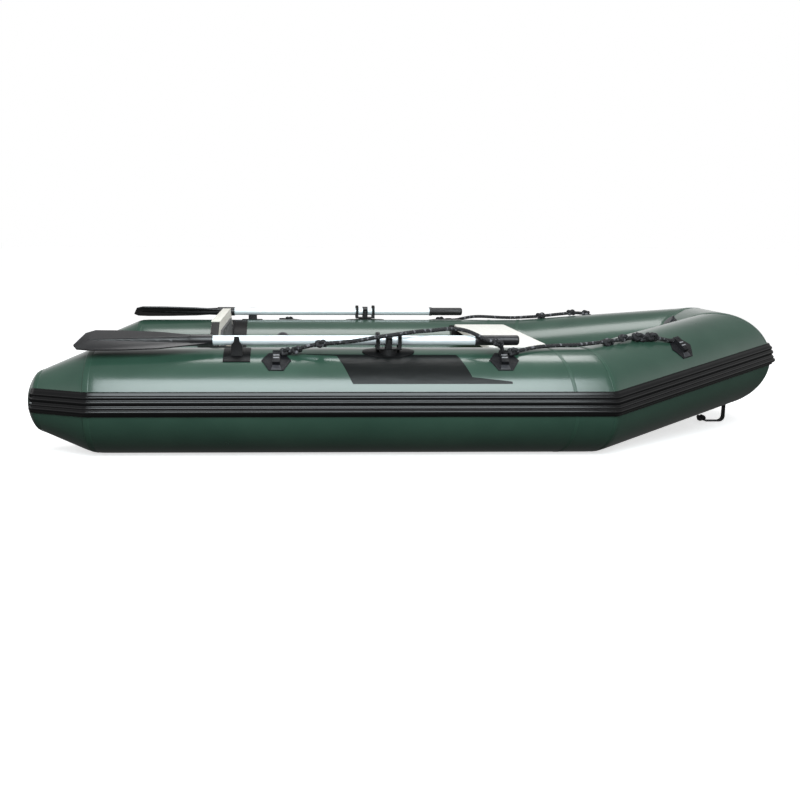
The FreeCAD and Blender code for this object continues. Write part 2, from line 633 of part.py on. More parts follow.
def bow_patch_entry(share_back):
    """Point in line with the bow patch's loop, a share of the bow axis behind its face."""
    face = BOW_PATCH_T - LOOP_HALF / (CORNER - KINK).Length
    return on_bow(face - share_back, BOW_ROPE_ANGLE, ROPE_RIDE)


def starboard_bow_route():
    """From the mid patch up to the crest at the kink, and on to the bow patch."""
    return [on_tube(MID_PATCH_X + LOOP_HALF, ROPE_ANGLE, ROPE_RIDE),
            on_tube(311, ROPE_ANGLE, ROPE_RIDE), on_tube(352, 18.0, 213.0), on_tube(418, 11.0, 214.0),
            on_tube(490, 7.0, 214.0), on_tube(565, 5.0, 214.0), on_bow(0.05, 5.5, 215.0),
            on_bow(0.13, 9.0, 214.0), on_bow(0.20, 14.0, 214.0), on_bow(0.265, 16.0, 215.0),
            on_bow(0.33, 21.0, 215.0), on_bow(0.385, 27.5, 214.0), on_bow(0.425, 33.0, 211.0),
            bow_patch_entry(0.022), bow_patch_entry(0.0)]


def port_bow_route():
    """From the mid patch along the crest to the bow patch, drawn for starboard and mirrored."""
    return [on_tube(MID_PATCH_X + LOOP_HALF, ROPE_ANGLE, ROPE_RIDE),
            on_tube(311, ROPE_ANGLE, ROPE_RIDE), on_tube(345, 16.0, 212.0), on_tube(392, 7.0, 217.0),
            on_tube(447, 2.0, 216.0), on_tube(520, 0.0, 212.0), on_tube(590, 3.0, 210.5),
            on_bow(0.07, 1.0, 211.0), on_bow(0.15, -2.0, 211.0), on_bow(0.225, 4.0, 212.0),
            on_bow(0.295, 8.0, 214.0), on_bow(0.355, 11.0, 216.0), on_bow(0.405, 20.0, 214.0),
            on_bow(0.437, 31.0, 211.0), bow_patch_entry(0.018), bow_patch_entry(0.0)]


# ---------------------------------------------------------------- tow strap


def tow_out():
    """Direction from the nose's axis to the tow patch."""
    reach = TOW_X - CORNER.x
    return V(reach, 0, -math.sqrt(TUBE_R ** 2 - reach ** 2)) * (1 / TUBE_R)


def tow_patch():
    """Round patch under the nose with the block that the strap is sewn to."""
    base = V(CORNER.x, 0, CORNER.z)
    out = tow_out()
    column = Part.makeCylinder(48.0, 120.0, base + out * 120, out)
    ring = cylinder(base - V(0, 100, 0), base + V(0, 100, 0), TUBE_R + 2.8)
    ring = ring.cut(cylinder(base - V(0, 100, 0), base + V(0, 100, 0), TUBE_R + GAP))
    block = box((TOW_X - 12, TOW_X + 12), (-22, 22), (124, 152))
    block = block.cut(cylinder(base - V(0, 100, 0), base + V(0, 100, 0), TUBE_R + GAP))
    return column.common(ring).fuse(block).removeSplitter()


def tow_strap():
    """Webbing strap that hangs from the block, turns aft on the ground and ends in a knot."""
    bend = 22.0
    low = 1.0
    half = STRAP_THICK / 2
    centre = V(TOW_X - bend, -STRAP_HALF, low + half + bend)
    path = Part.Wire([
        Part.LineSegment(V(TOW_X, -STRAP_HALF, 124), V(TOW_X, -STRAP_HALF, centre.z)).toShape(),
        Part.Arc(V(TOW_X, -STRAP_HALF, centre.z),
                 centre + V(bend * math.sqrt(0.5), 0, -bend * math.sqrt(0.5)),
                 V(centre.x, -STRAP_HALF, low + half)).toShape(),
        Part.LineSegment(V(centre.x, -STRAP_HALF, low + half),
                         V(TOW_X - 80, -STRAP_HALF, low + half)).toShape()])
    section = Part.makePolygon([V(TOW_X - half, -STRAP_HALF, 124), V(TOW_X + half, -STRAP_HALF, 124),
                                V(TOW_X + half, STRAP_HALF, 124), V(TOW_X - half, STRAP_HALF, 124),
                                V(TOW_X - half, -STRAP_HALF, 124)])
    strap = path.makePipeShell([section], True, False)
    knot = box((TOW_X - 118, TOW_X - 80), (-22, 22), (low, low + 30))
    return Part.makeCompound([strap, knot.makeFillet(8.0, knot.Edges)])


# ---------------------------------------------------------------- valves
VALVE_PLACES = {
    "starboard": (V(-560, -HALF_BEAM, TUBE_R), V(0, math.sin(0.9), math.cos(0.9)), V(1, 0, 0)),
    "port": (V(-560, HALF_BEAM, TUBE_R), V(0, -math.sin(0.9), math.cos(0.9)), V(1, 0, 0)),
    "bow": (V(CORNER.x, 0, CORNER.z), V(-math.sin(0.8), 0, math.cos(0.8)), V(0, 1, 0)),
}


def valve_body(base, out, tangent):
    """Flange of an inflation valve, flat on top, with its throat."""
    foot = Part.makeCylinder(VALVE_R, 24.0, base + out * (TUBE_R - 12), out)
    foot = foot.cut(cylinder(base - tangent * 120, base + tangent * 120, TUBE_R + GAP))
    return foot.cut(Part.makeCylinder(15.0, 40.0, base + out * (TUBE_R - 15), out))


def valve_cap(base, out, tangent):
    """Screw cap with its hinge lug, standing on the flange."""
    seat = base + out * (TUBE_R + 12 + GAP)
    cap = Part.makeCylinder(24.0, 9.0, seat, out)
    rim = [edge for edge in cap.Edges if (edge.CenterOfMass - seat).dot(out) > 8.5]
    cap = cap.makeFillet(2.5, rim)
    side = tangent.cross(out)
    lug_at = seat + side * 27 + out * 4.5
    lug = cylinder(lug_at - tangent * 6, lug_at + tangent * 6, 4.0)
    return cap.fuse(lug).removeSplitter()


def main():
    """Make every node and write it to its own file."""
    nodes = {}
    for name, side in SIDES.items():
        nodes["side_tube_" + name] = on_side(side_tube(), side)
        nodes["stern_cone_" + name] = on_side(stern_cone(), side)
        nodes["bow_tube_" + name] = on_side(bow_tube(), side)
        nodes["rub_strake_side_" + name] = on_side(side_strake(), side)
        nodes["transom_holder_" + name] = on_side(transom_holder(), side)
        nodes["thwart_bracket_" + name] = on_side(thwart_bracket(), side)
        nodes["lifeline_patch_aft_" + name] = on_side(side_patch(AFT_PATCH_X, PATCH_ANGLE), side)
        nodes["lifeline_patch_mid_" + name] = on_side(side_patch(MID_PATCH_X, PATCH_ANGLE), side)
        nodes["lifeline_patch_bow_" + name] = on_side(bow_patch(), side)
        nodes["oarlock_base_" + name] = on_side(oarlock_base(), side)
        nodes["oarlock_yoke_" + name] = on_side(oarlock_yoke(), side)
        nodes["oar_collar_" + name] = on_side(oar_collar(), side)
        nodes["oar_shaft_aft_" + name] = on_side(shaft(BLADE_ROOT_X - 60, SHAFT_JOINT_X), side)
        nodes["oar_shaft_fore_" + name] = on_side(shaft(SHAFT_JOINT_X, GRIP_X[1] - 30), side)
        nodes["oar_spigot_" + name] = on_side(oar_spigot(), side)
        nodes["oar_blade_" + name] = on_side(oar_blade(), side)
        nodes["oar_grip_" + name] = on_side(oar_grip(), side)
        nodes["oar_clip_" + name] = on_side(oar_clip(), side)
    nodes["nose_tube"] = nose_tube()
    nodes["chamber_baffles"] = chamber_baffles()
    nodes["hull_bottom"] = hull_bottom()
    nodes["floor_slats"] = floor_slats()
    nodes["rub_strake_bow"] = bow_strakes()
    nodes["rub_strake_stern"] = Part.makeCompound([stern_strake(), mirrored(stern_strake())])
    nodes["transom_board"] = transom_board()
    nodes["transom_cap"] = transom_cap()
    nodes["motor_pad_inner"] = motor_pad_inner()
    nodes["motor_pad_outer"] = motor_pad_outer()
    nodes["motor_pad_screws"] = motor_pad_screws()
    nodes["drain_socket"] = drain_socket()
    nodes["drain_plug"] = drain_plug()
    nodes["thwart_board"] = thwart_board()
    nodes["tow_patch"] = tow_patch()
    nodes["tow_strap"] = tow_strap()
    nodes["valve_bodies"] = Part.makeCompound([valve_body(*place) for place in VALVE_PLACES.values()])
    for name, place in VALVE_PLACES.items():
        nodes["valve_cap_" + name] = valve_cap(*place)
    nodes["lifeline_aft_starboard"] = rope(starboard_aft_route(), "lifeline_aft_starboard")
    nodes["lifeline_fore_starboard"] = rope(starboard_bow_route(), "lifeline_fore_starboard")
    nodes["lifeline_aft_port"] = mirrored(rope(port_aft_route(), "lifeline_aft_port"))
    nodes["lifeline_fore_port"] = mirrored(rope(port_bow_route(), "lifeline_fore_port"))
    os.makedirs("parts", exist_ok=True)
    whole = Part.makeCompound(list(nodes.values())).BoundBox
    for name, shape in nodes.items():
        if not shape.isValid() or shape.Volume <= 0:
            print("CHECK", name, "valid", shape.isValid(), "volume", shape.Volume)
        shape.exportStep("parts/" + name + ".step")
    print(len(nodes), "nodes, box", whole)


main()
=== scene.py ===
"""Looks of an inflatable dinghy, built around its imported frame. All lengths are in metres."""

import math

import bmesh
import bpy
import numpy as np
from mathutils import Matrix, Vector


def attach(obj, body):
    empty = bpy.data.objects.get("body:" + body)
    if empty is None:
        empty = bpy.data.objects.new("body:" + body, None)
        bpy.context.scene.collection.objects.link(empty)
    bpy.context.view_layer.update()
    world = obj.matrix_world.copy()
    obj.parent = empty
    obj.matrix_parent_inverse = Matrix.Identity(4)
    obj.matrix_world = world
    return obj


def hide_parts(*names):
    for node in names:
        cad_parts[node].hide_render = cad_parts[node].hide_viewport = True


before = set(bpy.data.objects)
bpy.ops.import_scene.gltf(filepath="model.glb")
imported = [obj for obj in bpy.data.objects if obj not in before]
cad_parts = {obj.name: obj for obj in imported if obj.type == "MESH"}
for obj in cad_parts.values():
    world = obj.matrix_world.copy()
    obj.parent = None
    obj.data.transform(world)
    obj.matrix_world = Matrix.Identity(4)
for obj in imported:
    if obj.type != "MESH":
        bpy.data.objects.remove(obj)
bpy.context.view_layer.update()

# ---------------------------------------------------------------- sizes of the hull
TUBE_R = 0.200
HALF_BEAM = 0.554
SHOULDER = np.array([-1.256, -HALF_BEAM, TUBE_R])
CONE_LENGTH = 0.212
CONE_END_R = 0.110
CAP_DEPTH = 0.038
KINK = np.array([0.616, -HALF_BEAM, TUBE_R])
CORNER = np.array([1.294, -0.122, 0.297])
ROPE_R = 0.006
ROPE_RIDE = 0.209
BOW_PATCH_T = 0.49
ROPE_ANGLE = 23.5
BOW_ROPE_ANGLE = 35.5
LOOP_HALF = 0.014
AFT_PATCH_X = -0.568
MID_PATCH_X = 0.271
PATCH_ANGLE = 34.0
BOW_PATCH_ANGLE = 46.0
TOW_X = 1.414
TOW_WIDTH = 0.035
SIDES = {"starboard": -1, "port": 1}
MIRROR = np.array([1.0, -1.0, 1.0])


def unit(vector):
    """Vector divided by its own length."""
    vector = np.asarray(vector, float)
    return vector / np.linalg.norm(vector)


def turned(vectors, start, end):
    """Vectors turned by the smallest rotation that takes one direction to another.

    With axis a = start x end and cosine c, v becomes v c + a x v + a (a . v) / (1 + c).
    """
    vectors = np.atleast_2d(vectors)
    axis = np.cross(start, end)
    cosine = float(np.dot(start, end))
    along = (vectors @ axis)[:, None] * axis / (1.0 + cosine)
    return vectors * cosine + np.cross(axis, vectors) + along


FORWARD = np.array([1.0, 0.0, 0.0])
BOW_DIR = unit(CORNER - KINK)
NOSE_DIR = np.array([0.0, 1.0, 0.0])
SIDE_FRAME = np.array([[0.0, -1.0, 0.0], [0.0, 0.0, 1.0]])
BOW_FRAME = turned(SIDE_FRAME, FORWARD, BOW_DIR)
BOW_LENGTH = float(np.linalg.norm(CORNER - KINK))


def on_tube(along, angle, radius):
    """Point over the starboard side tube, angle in degrees outboard of the crest."""
    turn = math.radians(angle)
    return np.array([along, -HALF_BEAM - radius * math.sin(turn), TUBE_R + radius * math.cos(turn)])


def on_bow(share, angle, radius):
    """Point over the starboard bow tube, a share of the way from the kink to the corner."""
    turn = math.radians(angle)
    offset = BOW_FRAME[0] * math.sin(turn) + BOW_FRAME[1] * math.cos(turn)
    return KINK + (CORNER - KINK) * share + offset * radius


# ---------------------------------------------------------------- camera, lights and floor
def make_camera():
    """Camera a little above the tubes, square to the boat's starboard side."""
    data = bpy.data.cameras.new("camera")
    data.lens = 0.9355 * 36.0 / 0.8
    data.sensor_width = 36.0
    data.shift_x = 0.10
    data.clip_end = 100.0
    camera = bpy.data.objects.new("camera", data)
    yaw, pitch, roll = (math.radians(a) for a in (1.396, 10.381, 0.172))
    ahead = Vector((math.sin(yaw) * math.cos(pitch), math.cos(yaw) * math.cos(pitch), -math.sin(pitch)))
    right = Vector((math.cos(yaw), -math.sin(yaw), 0.0))
    up = right.cross(ahead)
    rolled_right = right * math.cos(roll) + up * math.sin(roll)
    rolled_up = up * math.cos(roll) - right * math.sin(roll)
    matrix = camera.matrix_world.copy()
    for row in range(3):
        matrix[row][0] = rolled_right[row]
        matrix[row][1] = rolled_up[row]
        matrix[row][2] = -ahead[row]
        matrix[row][3] = (-0.4903, -4.0667, 0.8433)[row]
    camera.matrix_world = matrix
    bpy.context.scene.collection.objects.link(camera)
    bpy.context.scene.camera = camera


def area_light(name, place, target, size, power, tint=(1.0, 1.0, 1.0)):
    """Rectangular soft light that faces a target and isn't seen itself."""
    data = bpy.data.lights.new(name, "AREA")
    data.shape = "RECTANGLE"
    data.size, data.size_y = size
    data.energy = power
    data.color = tint
    light = bpy.data.objects.new(name, data)
    light.location = place
    light.rotation_euler = (Vector(target) - Vector(place)).to_track_quat("-Z", "Y").to_euler()
    light.visible_camera = False
    bpy.context.scene.collection.objects.link(light)


def make_studio():
    """Pale floor and surroundings, a soft box in front and above, and a weaker light overhead."""
    scene = bpy.context.scene
    scene.view_settings.view_transform = "Standard"
    world = bpy.data.worlds.new("studio")
    world.use_nodes = True
    nodes, links = world.node_tree.nodes, world.node_tree.links
    backdrop = nodes["Background"]
    direction = nodes.new("ShaderNodeTexCoord")
    parts = nodes.new("ShaderNodeSeparateXYZ")
    height = nodes.new("ShaderNodeMapRange")
    height.inputs["From Min"].default_value = -1.0
    ramp = nodes.new("ShaderNodeValToRGB")
    stops = [(0.0, 0.07), (0.46, 0.09), (0.53, 0.9), (0.64, 0.8), (0.80, 0.30), (1.0, 0.30)]
    while len(ramp.color_ramp.elements) < len(stops):
        ramp.color_ramp.elements.new(0.5)
    for element, (place, shade) in zip(ramp.color_ramp.elements, stops):
        element.position = place
        element.color = (shade, shade, shade, 1.0)
    path = nodes.new("ShaderNodeLightPath")
    pick = nodes.new("ShaderNodeMix")
    pick.data_type = "RGBA"
    pick.inputs[7].default_value = (1.0, 1.0, 1.0, 1.0)
    links.new(direction.outputs["Generated"], parts.inputs[0])
    links.new(parts.outputs["Z"], height.inputs[0])
    links.new(height.outputs[0], ramp.inputs[0])
    links.new(ramp.outputs[0], pick.inputs[6])
    links.new(path.outputs["Is Camera Ray"], pick.inputs[0])
    links.new(pick.outputs[2], backdrop.inputs["Color"])
    scene.world = world
    area_light("overhead", (0.0, 0.6, 3.4), (0.0, -0.3, 0.2), (3.4, 1.2), 70.0)
    area_light("front_soft_box", (-0.2, -3.25, 2.35), (-0.2, -0.7, 0.3), (3.6, 1.9), 175.0, (0.88, 0.97, 1.0))
    mesh = bpy.data.meshes.new("studio_floor")
    mesh.from_pydata([(-40, -40, 0), (40, -40, 0), (40, 40, 0), (-40, 40, 0)], [], [(0, 1, 2, 3)])
    floor = bpy.data.objects.new("studio_floor", mesh)
    floor.visible_diffuse = False
    floor.visible_glossy = False
    scene.collection.objects.link(floor)
    mesh.materials.append(floor_paint())


# ---------------------------------------------------------------- shader maths
class Value:
    """A shader socket whose operators add Math nodes to its recipe."""

    def __init__(self, recipe, socket):
        self.recipe = recipe
        self.socket = socket

    def maths(self, operation, *terms):
        """Math node of an operation on two or three terms."""
        return self.recipe.node("ShaderNodeMath", {"operation": operation}, *terms)

    def __add__(self, other):
        return self.maths("ADD", self, other)

    __radd__ = __add__

    def __sub__(self, other):
        return self.maths("SUBTRACT", self, other)

    def __rsub__(self, other):
        return self.maths("SUBTRACT", other, self)

    def __mul__(self, other):
        return self.maths("MULTIPLY", self, other)

    __rmul__ = __mul__

    def __truediv__(self, other):
        return self.maths("DIVIDE", self, other)


class Recipe:
    """One material: its Principled shader and the nodes that feed it."""

    def __init__(self, name, color, roughness, metallic=0.0, **fixed):
        self.material = bpy.data.materials.new(name)
        self.material.use_nodes = True
        self.nodes = self.material.node_tree.nodes
        self.links = self.material.node_tree.links
        self.shader = self.nodes["Principled BSDF"]
        self.feed("Base Color", color)
        self.feed("Roughness", roughness)
        self.feed("Metallic", metallic)
        for socket, value in fixed.items():
            self.feed(socket.replace("_", " "), value)

    def put(self, socket, value):
        """Links a Value to a socket, or sets a plain number, colour or vector on it."""
        if isinstance(value, Value):
            self.links.new(value.socket, socket)
        elif isinstance(value, (tuple, list)) and socket.type == "RGBA":
            socket.default_value = (*value[:3], 1.0)
        else:
            socket.default_value = value

    def feed(self, name, value):
        """Gives the Principled shader a value or a link."""
        self.put(self.shader.inputs[name], value)

    def node(self, kind, settings, *values, out=0, **named):
        """Adds a node: settings first, then socket values by order or by name."""
        made = self.nodes.new(kind)
        for key, value in settings.items():
            if key == "stops":
                ramp = made.color_ramp
                while len(ramp.elements) < len(value):
                    ramp.elements.new(0.5)
                for element, (place, color) in zip(ramp.elements, value):
                    element.position = place
                    element.color = (*color, 1.0)
            else:
                setattr(made, key, value)
        for index, value in enumerate(values):
            self.put(made.inputs[index], value)
        for name, value in named.items():
            self.put(made.inputs[name.replace("_", " ")], value)
        return Value(self, made.outputs[out])

    def place(self, scale=(1.0, 1.0, 1.0), turn=(0.0, 0.0, 0.0), source="Object"):
        """Object or UV coordinates, scaled and turned."""
        coords = self.node("ShaderNodeTexCoord", {}, out=source)
        return self.node("ShaderNodeMapping", {}, Vector=coords, Scale=scale, Rotation=turn)

    def noise(self, coords, scale, detail=3.0, rough=0.5):
        """Fractal noise from 0 to 1."""
        return self.node("ShaderNodeTexNoise", {}, Vector=coords, Scale=scale, Detail=detail, Roughness=rough)

    def wave(self, coords, scale, axis="X", distortion=0.0, profile="SIN"):
        """Parallel bands from 0 to 1 across one axis."""
        settings = {"wave_type": "BANDS", "bands_direction": axis, "wave_profile": profile}
        return self.node("ShaderNodeTexWave", settings, Vector=coords, Scale=scale,
                         Distortion=distortion, Detail=1.0)

    def between(self, value, low, high, to_low=0.0, to_high=1.0):
        """Value stretched from one range to another and held at its ends."""
        return self.node("ShaderNodeMapRange", {}, value, low, high, to_low, to_high)

    def mix(self, share, first, second):
        """Colour part of the way from one to another."""
        made = self.nodes.new("ShaderNodeMix")
        made.data_type = "RGBA"
        self.put(made.inputs[0], share)
        self.put(made.inputs[6], first)
        self.put(made.inputs[7], second)
        return Value(self, made.outputs[2])

    def bump(self, height, distance, strength=1.0):
        """Surface relief whose height of 1 is a distance in metres."""
        relief = self.node("ShaderNodeBump", {}, Height=height, Distance=distance, Strength=strength)
        self.feed("Normal", relief)
        return self.material


# ---------------------------------------------------------------- materials
def floor_paint():
    """Plain pale studio floor."""
    recipe = Recipe("studio_floor_paint", (0.80, 0.80, 0.80), 0.9)
    recipe.feed("Emission Color", (1.0, 1.0, 1.0))
    recipe.feed("Emission Strength", 0.66)
    return recipe.material


def hull_fabric():
    """Green coated fabric: fine basket weave, faint mottling, scuffs that dull the gloss."""
    recipe = Recipe("hull_fabric_green", (0.04, 0.09, 0.06), 0.4)
    coords = recipe.place()
    cloud = recipe.noise(coords, 5.0, 4.0)
    mottle = recipe.between(cloud, 0.3, 0.7)
    recipe.feed("Base Color", recipe.mix(mottle, (0.021, 0.054, 0.037), (0.029, 0.068, 0.047)))
    scuff = recipe.between(recipe.noise(recipe.place((1.0, 6.0, 6.0)), 9.0, 6.0, 0.65), 0.55, 0.75)
    recipe.feed("Roughness", 0.26 + 0.05 * cloud + 0.02 * scuff)
    recipe.feed("Coat Weight", 0.6)
    recipe.feed("Coat Roughness", 0.16)
    weave = recipe.wave(coords, 260.0, "X") * recipe.wave(coords, 260.0, "Z")
    ripple = recipe.noise(recipe.place((1.0, 1.6, 1.6)), 3.2, 2.0)
    return recipe.bump(0.0012 * weave + ripple, 0.006, 0.5)


def seam_fabric():
    """The same coated fabric as a glued tape, a little glossier."""
    recipe = Recipe("seam_tape_green", (0.025, 0.062, 0.042), 0.3)
    cloud = recipe.noise(recipe.place(), 60.0, 3.0)
    recipe.feed("Roughness", 0.3 + 0.12 * cloud)
    return recipe.bump(cloud, 0.0005)


def black_rubber(name, shade, gloss, shine, grain, relief):
    """Moulded or extruded black rubber with a fine skin and dusty patches."""
    recipe = Recipe(name, (shade, shade, shade * 1.05), gloss, Specular_IOR_Level=shine)
    coords = recipe.place()
    dust = recipe.between(recipe.noise(coords, 14.0, 5.0, 0.6), 0.45, 0.75)
    dusty = (shade * 2.2, shade * 2.2, shade * 2.3)
    recipe.feed("Base Color", recipe.mix(dust * 0.3, (shade, shade, shade * 1.06), dusty))
    recipe.feed("Roughness", gloss + 0.05 * dust)
    return recipe.bump(recipe.noise(coords, grain, 2.0), relief)


def patch_cloth():
    """Black coated cloth with a visible basket weave."""
    recipe = Recipe("patch_cloth_black", (0.008, 0.008, 0.010), 0.5, Specular_IOR_Level=0.22)
    coords = recipe.place()
    weave = recipe.wave(coords, 190.0, "X") * recipe.wave(coords, 190.0, "Y")
    recipe.feed("Base Color", recipe.mix(weave, (0.005, 0.005, 0.006), (0.014, 0.014, 0.017)))
    recipe.feed("Roughness", 0.34 + 0.12 * recipe.noise(coords, 30.0))
    return recipe.bump(weave, 0.0003)


def flash_film():
    """Smooth black film of the side graphic, glossier than the cloth."""
    recipe = Recipe("flash_film_black", (0.005, 0.006, 0.006), 0.3, Specular_IOR_Level=0.2)
    cloud = recipe.noise(recipe.place((1.0, 4.0, 4.0)), 12.0, 5.0)
    recipe.feed("Roughness", 0.28 + 0.14 * cloud)
    return recipe.bump(cloud, 0.0008)


def painted_board(name, light, dark, gloss):
    """Off-white painted plywood: faint grain under the paint, specks and dull patches."""
    recipe = Recipe(name, light, gloss)
    grain = recipe.noise(recipe.place((6.0, 0.7, 6.0)), 14.0, 6.0, 0.6)
    specks = recipe.between(recipe.noise(recipe.place(), 420.0, 2.0), 0.60, 0.72)
    recipe.feed("Base Color", recipe.mix(recipe.between(grain, 0.35, 0.8) * 0.7 + specks * 0.3, light, dark))
    recipe.feed("Roughness", gloss + 0.15 * grain)
    return recipe.bump(grain + 0.4 * specks, 0.0005)


def pad_plastic():
    """Dark grey motor pad with a leathery grain."""
    recipe = Recipe("pad_plastic_grey", (0.06, 0.06, 0.064), 0.5)
    cells = recipe.node("ShaderNodeTexVoronoi", {"feature": "SMOOTH_F1"}, Vector=recipe.place(), Scale=340.0)
    recipe.feed("Base Color", recipe.mix(cells, (0.050, 0.050, 0.054), (0.085, 0.085, 0.090)))
    recipe.feed("Roughness", 0.42 + 0.2 * cells)
    return recipe.bump(cells, 0.0006)


def floor_ply():
    """Varnished plywood slats with grain along the slat and a few darker knots."""
    recipe = Recipe("floor_ply_varnished", (0.4, 0.27, 0.15), 0.4)
    grain = recipe.wave(recipe.place((9.0, 0.8, 9.0)), 6.0, "X", 5.0)
    pores = recipe.noise(recipe.place((40.0, 2.5, 40.0)), 9.0, 4.0)
    knots = recipe.between(recipe.noise(recipe.place((1.0, 0.5, 1.0)), 5.0, 1.0), 0.66, 0.74)
    base = recipe.mix(grain * 0.55 + 0.3 * pores, (0.46, 0.31, 0.17), (0.27, 0.16, 0.08))
    recipe.feed("Base Color", recipe.mix(knots * 0.8, base, (0.14, 0.08, 0.04)))
    recipe.feed("Roughness", 0.28 + 0.25 * pores)
    return recipe.bump(pores + 0.5 * grain, 0.0004)


def oar_metal():
    """Satin anodised tube with fine drawing marks along it and a few scratches."""
    recipe = Recipe("oar_metal_satin", (0.80, 0.86, 0.89), 0.4, 0.35)
    marks = recipe.noise(recipe.place((3.0, 260.0, 260.0)), 4.0, 4.0)
    fine = recipe.noise(recipe.place((30.0, 500.0, 500.0), (0.0, 0.3, 0.4)), 1.0, 2.0)
    scratch = recipe.between(fine, 0.68, 0.72)
    recipe.feed("Base Color", recipe.mix(scratch, (0.78, 0.85, 0.88), (0.60, 0.64, 0.67)))
    recipe.feed("Roughness", 0.34 + 0.14 * marks + 0.1 * scratch)
    return recipe.bump(marks, 0.00012)


def rope_braid():
    """Black braid with pale flecks, its yarns crossing along and round the rope."""
    recipe = Recipe("rope_braid_black", (0.02, 0.02, 0.02), 0.75)
    right = recipe.wave(recipe.place((1.0, 1.0, 1.0), (0.0, 0.0, 0.79), "UV"), 36.0, "X")
    left = recipe.wave(recipe.place((1.0, 1.0, 1.0), (0.0, 0.0, -0.79), "UV"), 36.0, "X")
    speckle = recipe.noise(recipe.place((1.0, 0.4, 1.0), (0.0, 0.0, 0.79), "UV"), 70.0, 1.0)
    fleck = recipe.between(speckle, 0.58, 0.64)
    yarn = recipe.mix(right * left, (0.004, 0.004, 0.005), (0.020, 0.020, 0.023))
    recipe.feed("Base Color", recipe.mix(fleck * 0.55, yarn, (0.22, 0.22, 0.24)))
    return recipe.bump(right * left, 0.0012)


def webbing():
    """Black webbing with fine ribs across it."""
    recipe = Recipe("webbing_black", (0.016, 0.016, 0.018), 0.7)
    ribs = recipe.wave(recipe.place((1.0, 1.0, 1.0), (0.0, 0.0, 0.0), "UV"), 160.0, "X")
    cross = recipe.wave(recipe.place((1.0, 1.0, 1.0), (0.0, 0.0, 0.0), "UV"), 120.0, "Y")
    recipe.feed("Base Color", recipe.mix(ribs * cross, (0.010, 0.010, 0.012), (0.035, 0.035, 0.040)))
    return recipe.bump(ribs * cross, 0.0005)


def plain_plastic(name, shade, gloss, grain=500.0, relief=0.0001):
    """Moulded plastic or metal trim with a fine texture and slight wear."""
    recipe = Recipe(name, shade, gloss)
    coords = recipe.place()
    wear = recipe.between(recipe.noise(coords, 22.0, 5.0, 0.6), 0.5, 0.8)
    worn = tuple(min(1.0, 1.7 * part + 0.01) for part in shade)
    recipe.feed("Base Color", recipe.mix(wear * 0.4, shade, worn))
    recipe.feed("Roughness", gloss + 0.15 * wear)
    return recipe.bump(recipe.noise(coords, grain, 2.0), relief)


def steel():
    """Stainless screw heads with turning marks."""
    recipe = Recipe("screw_steel", (0.72, 0.72, 0.73), 0.25, 1.0)
    marks = recipe.noise(recipe.place(), 700.0, 3.0)
    recipe.feed("Roughness", 0.2 + 0.2 * marks)
    return recipe.bump(marks, 0.0001)


HULL = hull_fabric()
TAPE = seam_fabric()
STRAKE = black_rubber("strake_rubber_black", 0.0045, 0.13, 0.34, 90.0, 0.00005)
MOULDED = black_rubber("moulded_rubber_black", 0.005, 0.36, 0.16, 700.0, 0.0003)
PATCH = patch_cloth()
FLASH = flash_film()
THWART = painted_board("thwart_paint_cream", (0.80, 0.785, 0.74), (0.66, 0.64, 0.58), 0.38)
TRANSOM = painted_board("transom_paint_cream", (0.70, 0.685, 0.62), (0.52, 0.50, 0.44), 0.42)
PAD = pad_plastic()
SLAT = floor_ply()
METAL = oar_metal()
OAR_BLACK = plain_plastic("oar_plastic_black", (0.010, 0.010, 0.011), 0.34)
ROPE = rope_braid()
WEBBING = webbing()
GREY_STRAP = plain_plastic("patch_strap_grey", (0.20, 0.20, 0.21), 0.5, 300.0, 0.0003)
DARK_STRAP = plain_plastic("patch_strap_dark", (0.030, 0.030, 0.034), 0.4, 300.0, 0.0003)
VALVE = plain_plastic("valve_plastic_black", (0.03, 0.03, 0.033), 0.28)
SCREW = steel()


# ---------------------------------------------------------------- mesh tools
def add_piece(name, points, faces, material, body="root", uv=None, smooth=True):
    """Object from point and face arrays, riding on a body."""
    mesh = bpy.data.meshes.new(name)
    mesh.from_pydata(np.asarray(points, float).tolist(), [], [list(map(int, face)) for face in faces])
    mesh.materials.append(material)
    if uv is not None:
        layer = mesh.uv_layers.new(name="UVMap")
        loops = np.zeros(len(mesh.loops), dtype=np.int32)
        mesh.loops.foreach_get("vertex_index", loops)
        layer.data.foreach_set("uv", np.asarray(uv, float)[loops].ravel())
    mesh.polygons.foreach_set("use_smooth", np.full(len(mesh.polygons), smooth))
    mesh.update()
    piece = bpy.data.objects.new(name, mesh)
    bpy.context.scene.collection.objects.link(piece)
    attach(piece, body)
    return piece


def grid_faces(rows, columns, wrap_rows=False, wrap_columns=False):
    """Quads between neighbouring points of a grid stored row by row."""
    row = np.arange(rows if wrap_rows else rows - 1)
    column = np.arange(columns if wrap_columns else columns - 1)
    r, c = np.meshgrid(row, column, indexing="ij")
    r2, c2 = (r + 1) % rows, (c + 1) % columns
    corners = [r * columns + c, r2 * columns + c, r2 * columns + c2, r * columns + c2]
    return np.stack([corner.ravel() for corner in corners], axis=1)


def sheet_uv(points):
    """Distances along the rows and the columns of a grid, in metres."""
    step_u = np.linalg.norm(np.diff(points, axis=0), axis=2)
    step_v = np.linalg.norm(np.diff(points, axis=1), axis=2)
    u = np.vstack([np.zeros((1, points.shape[1])), np.cumsum(step_u, axis=0)])
    v = np.hstack([np.zeros((points.shape[0], 1)), np.cumsum(step_v, axis=1)])
    return np.stack([u.mean(axis=1, keepdims=True) + 0 * v, v], axis=-1).reshape(-1, 2)


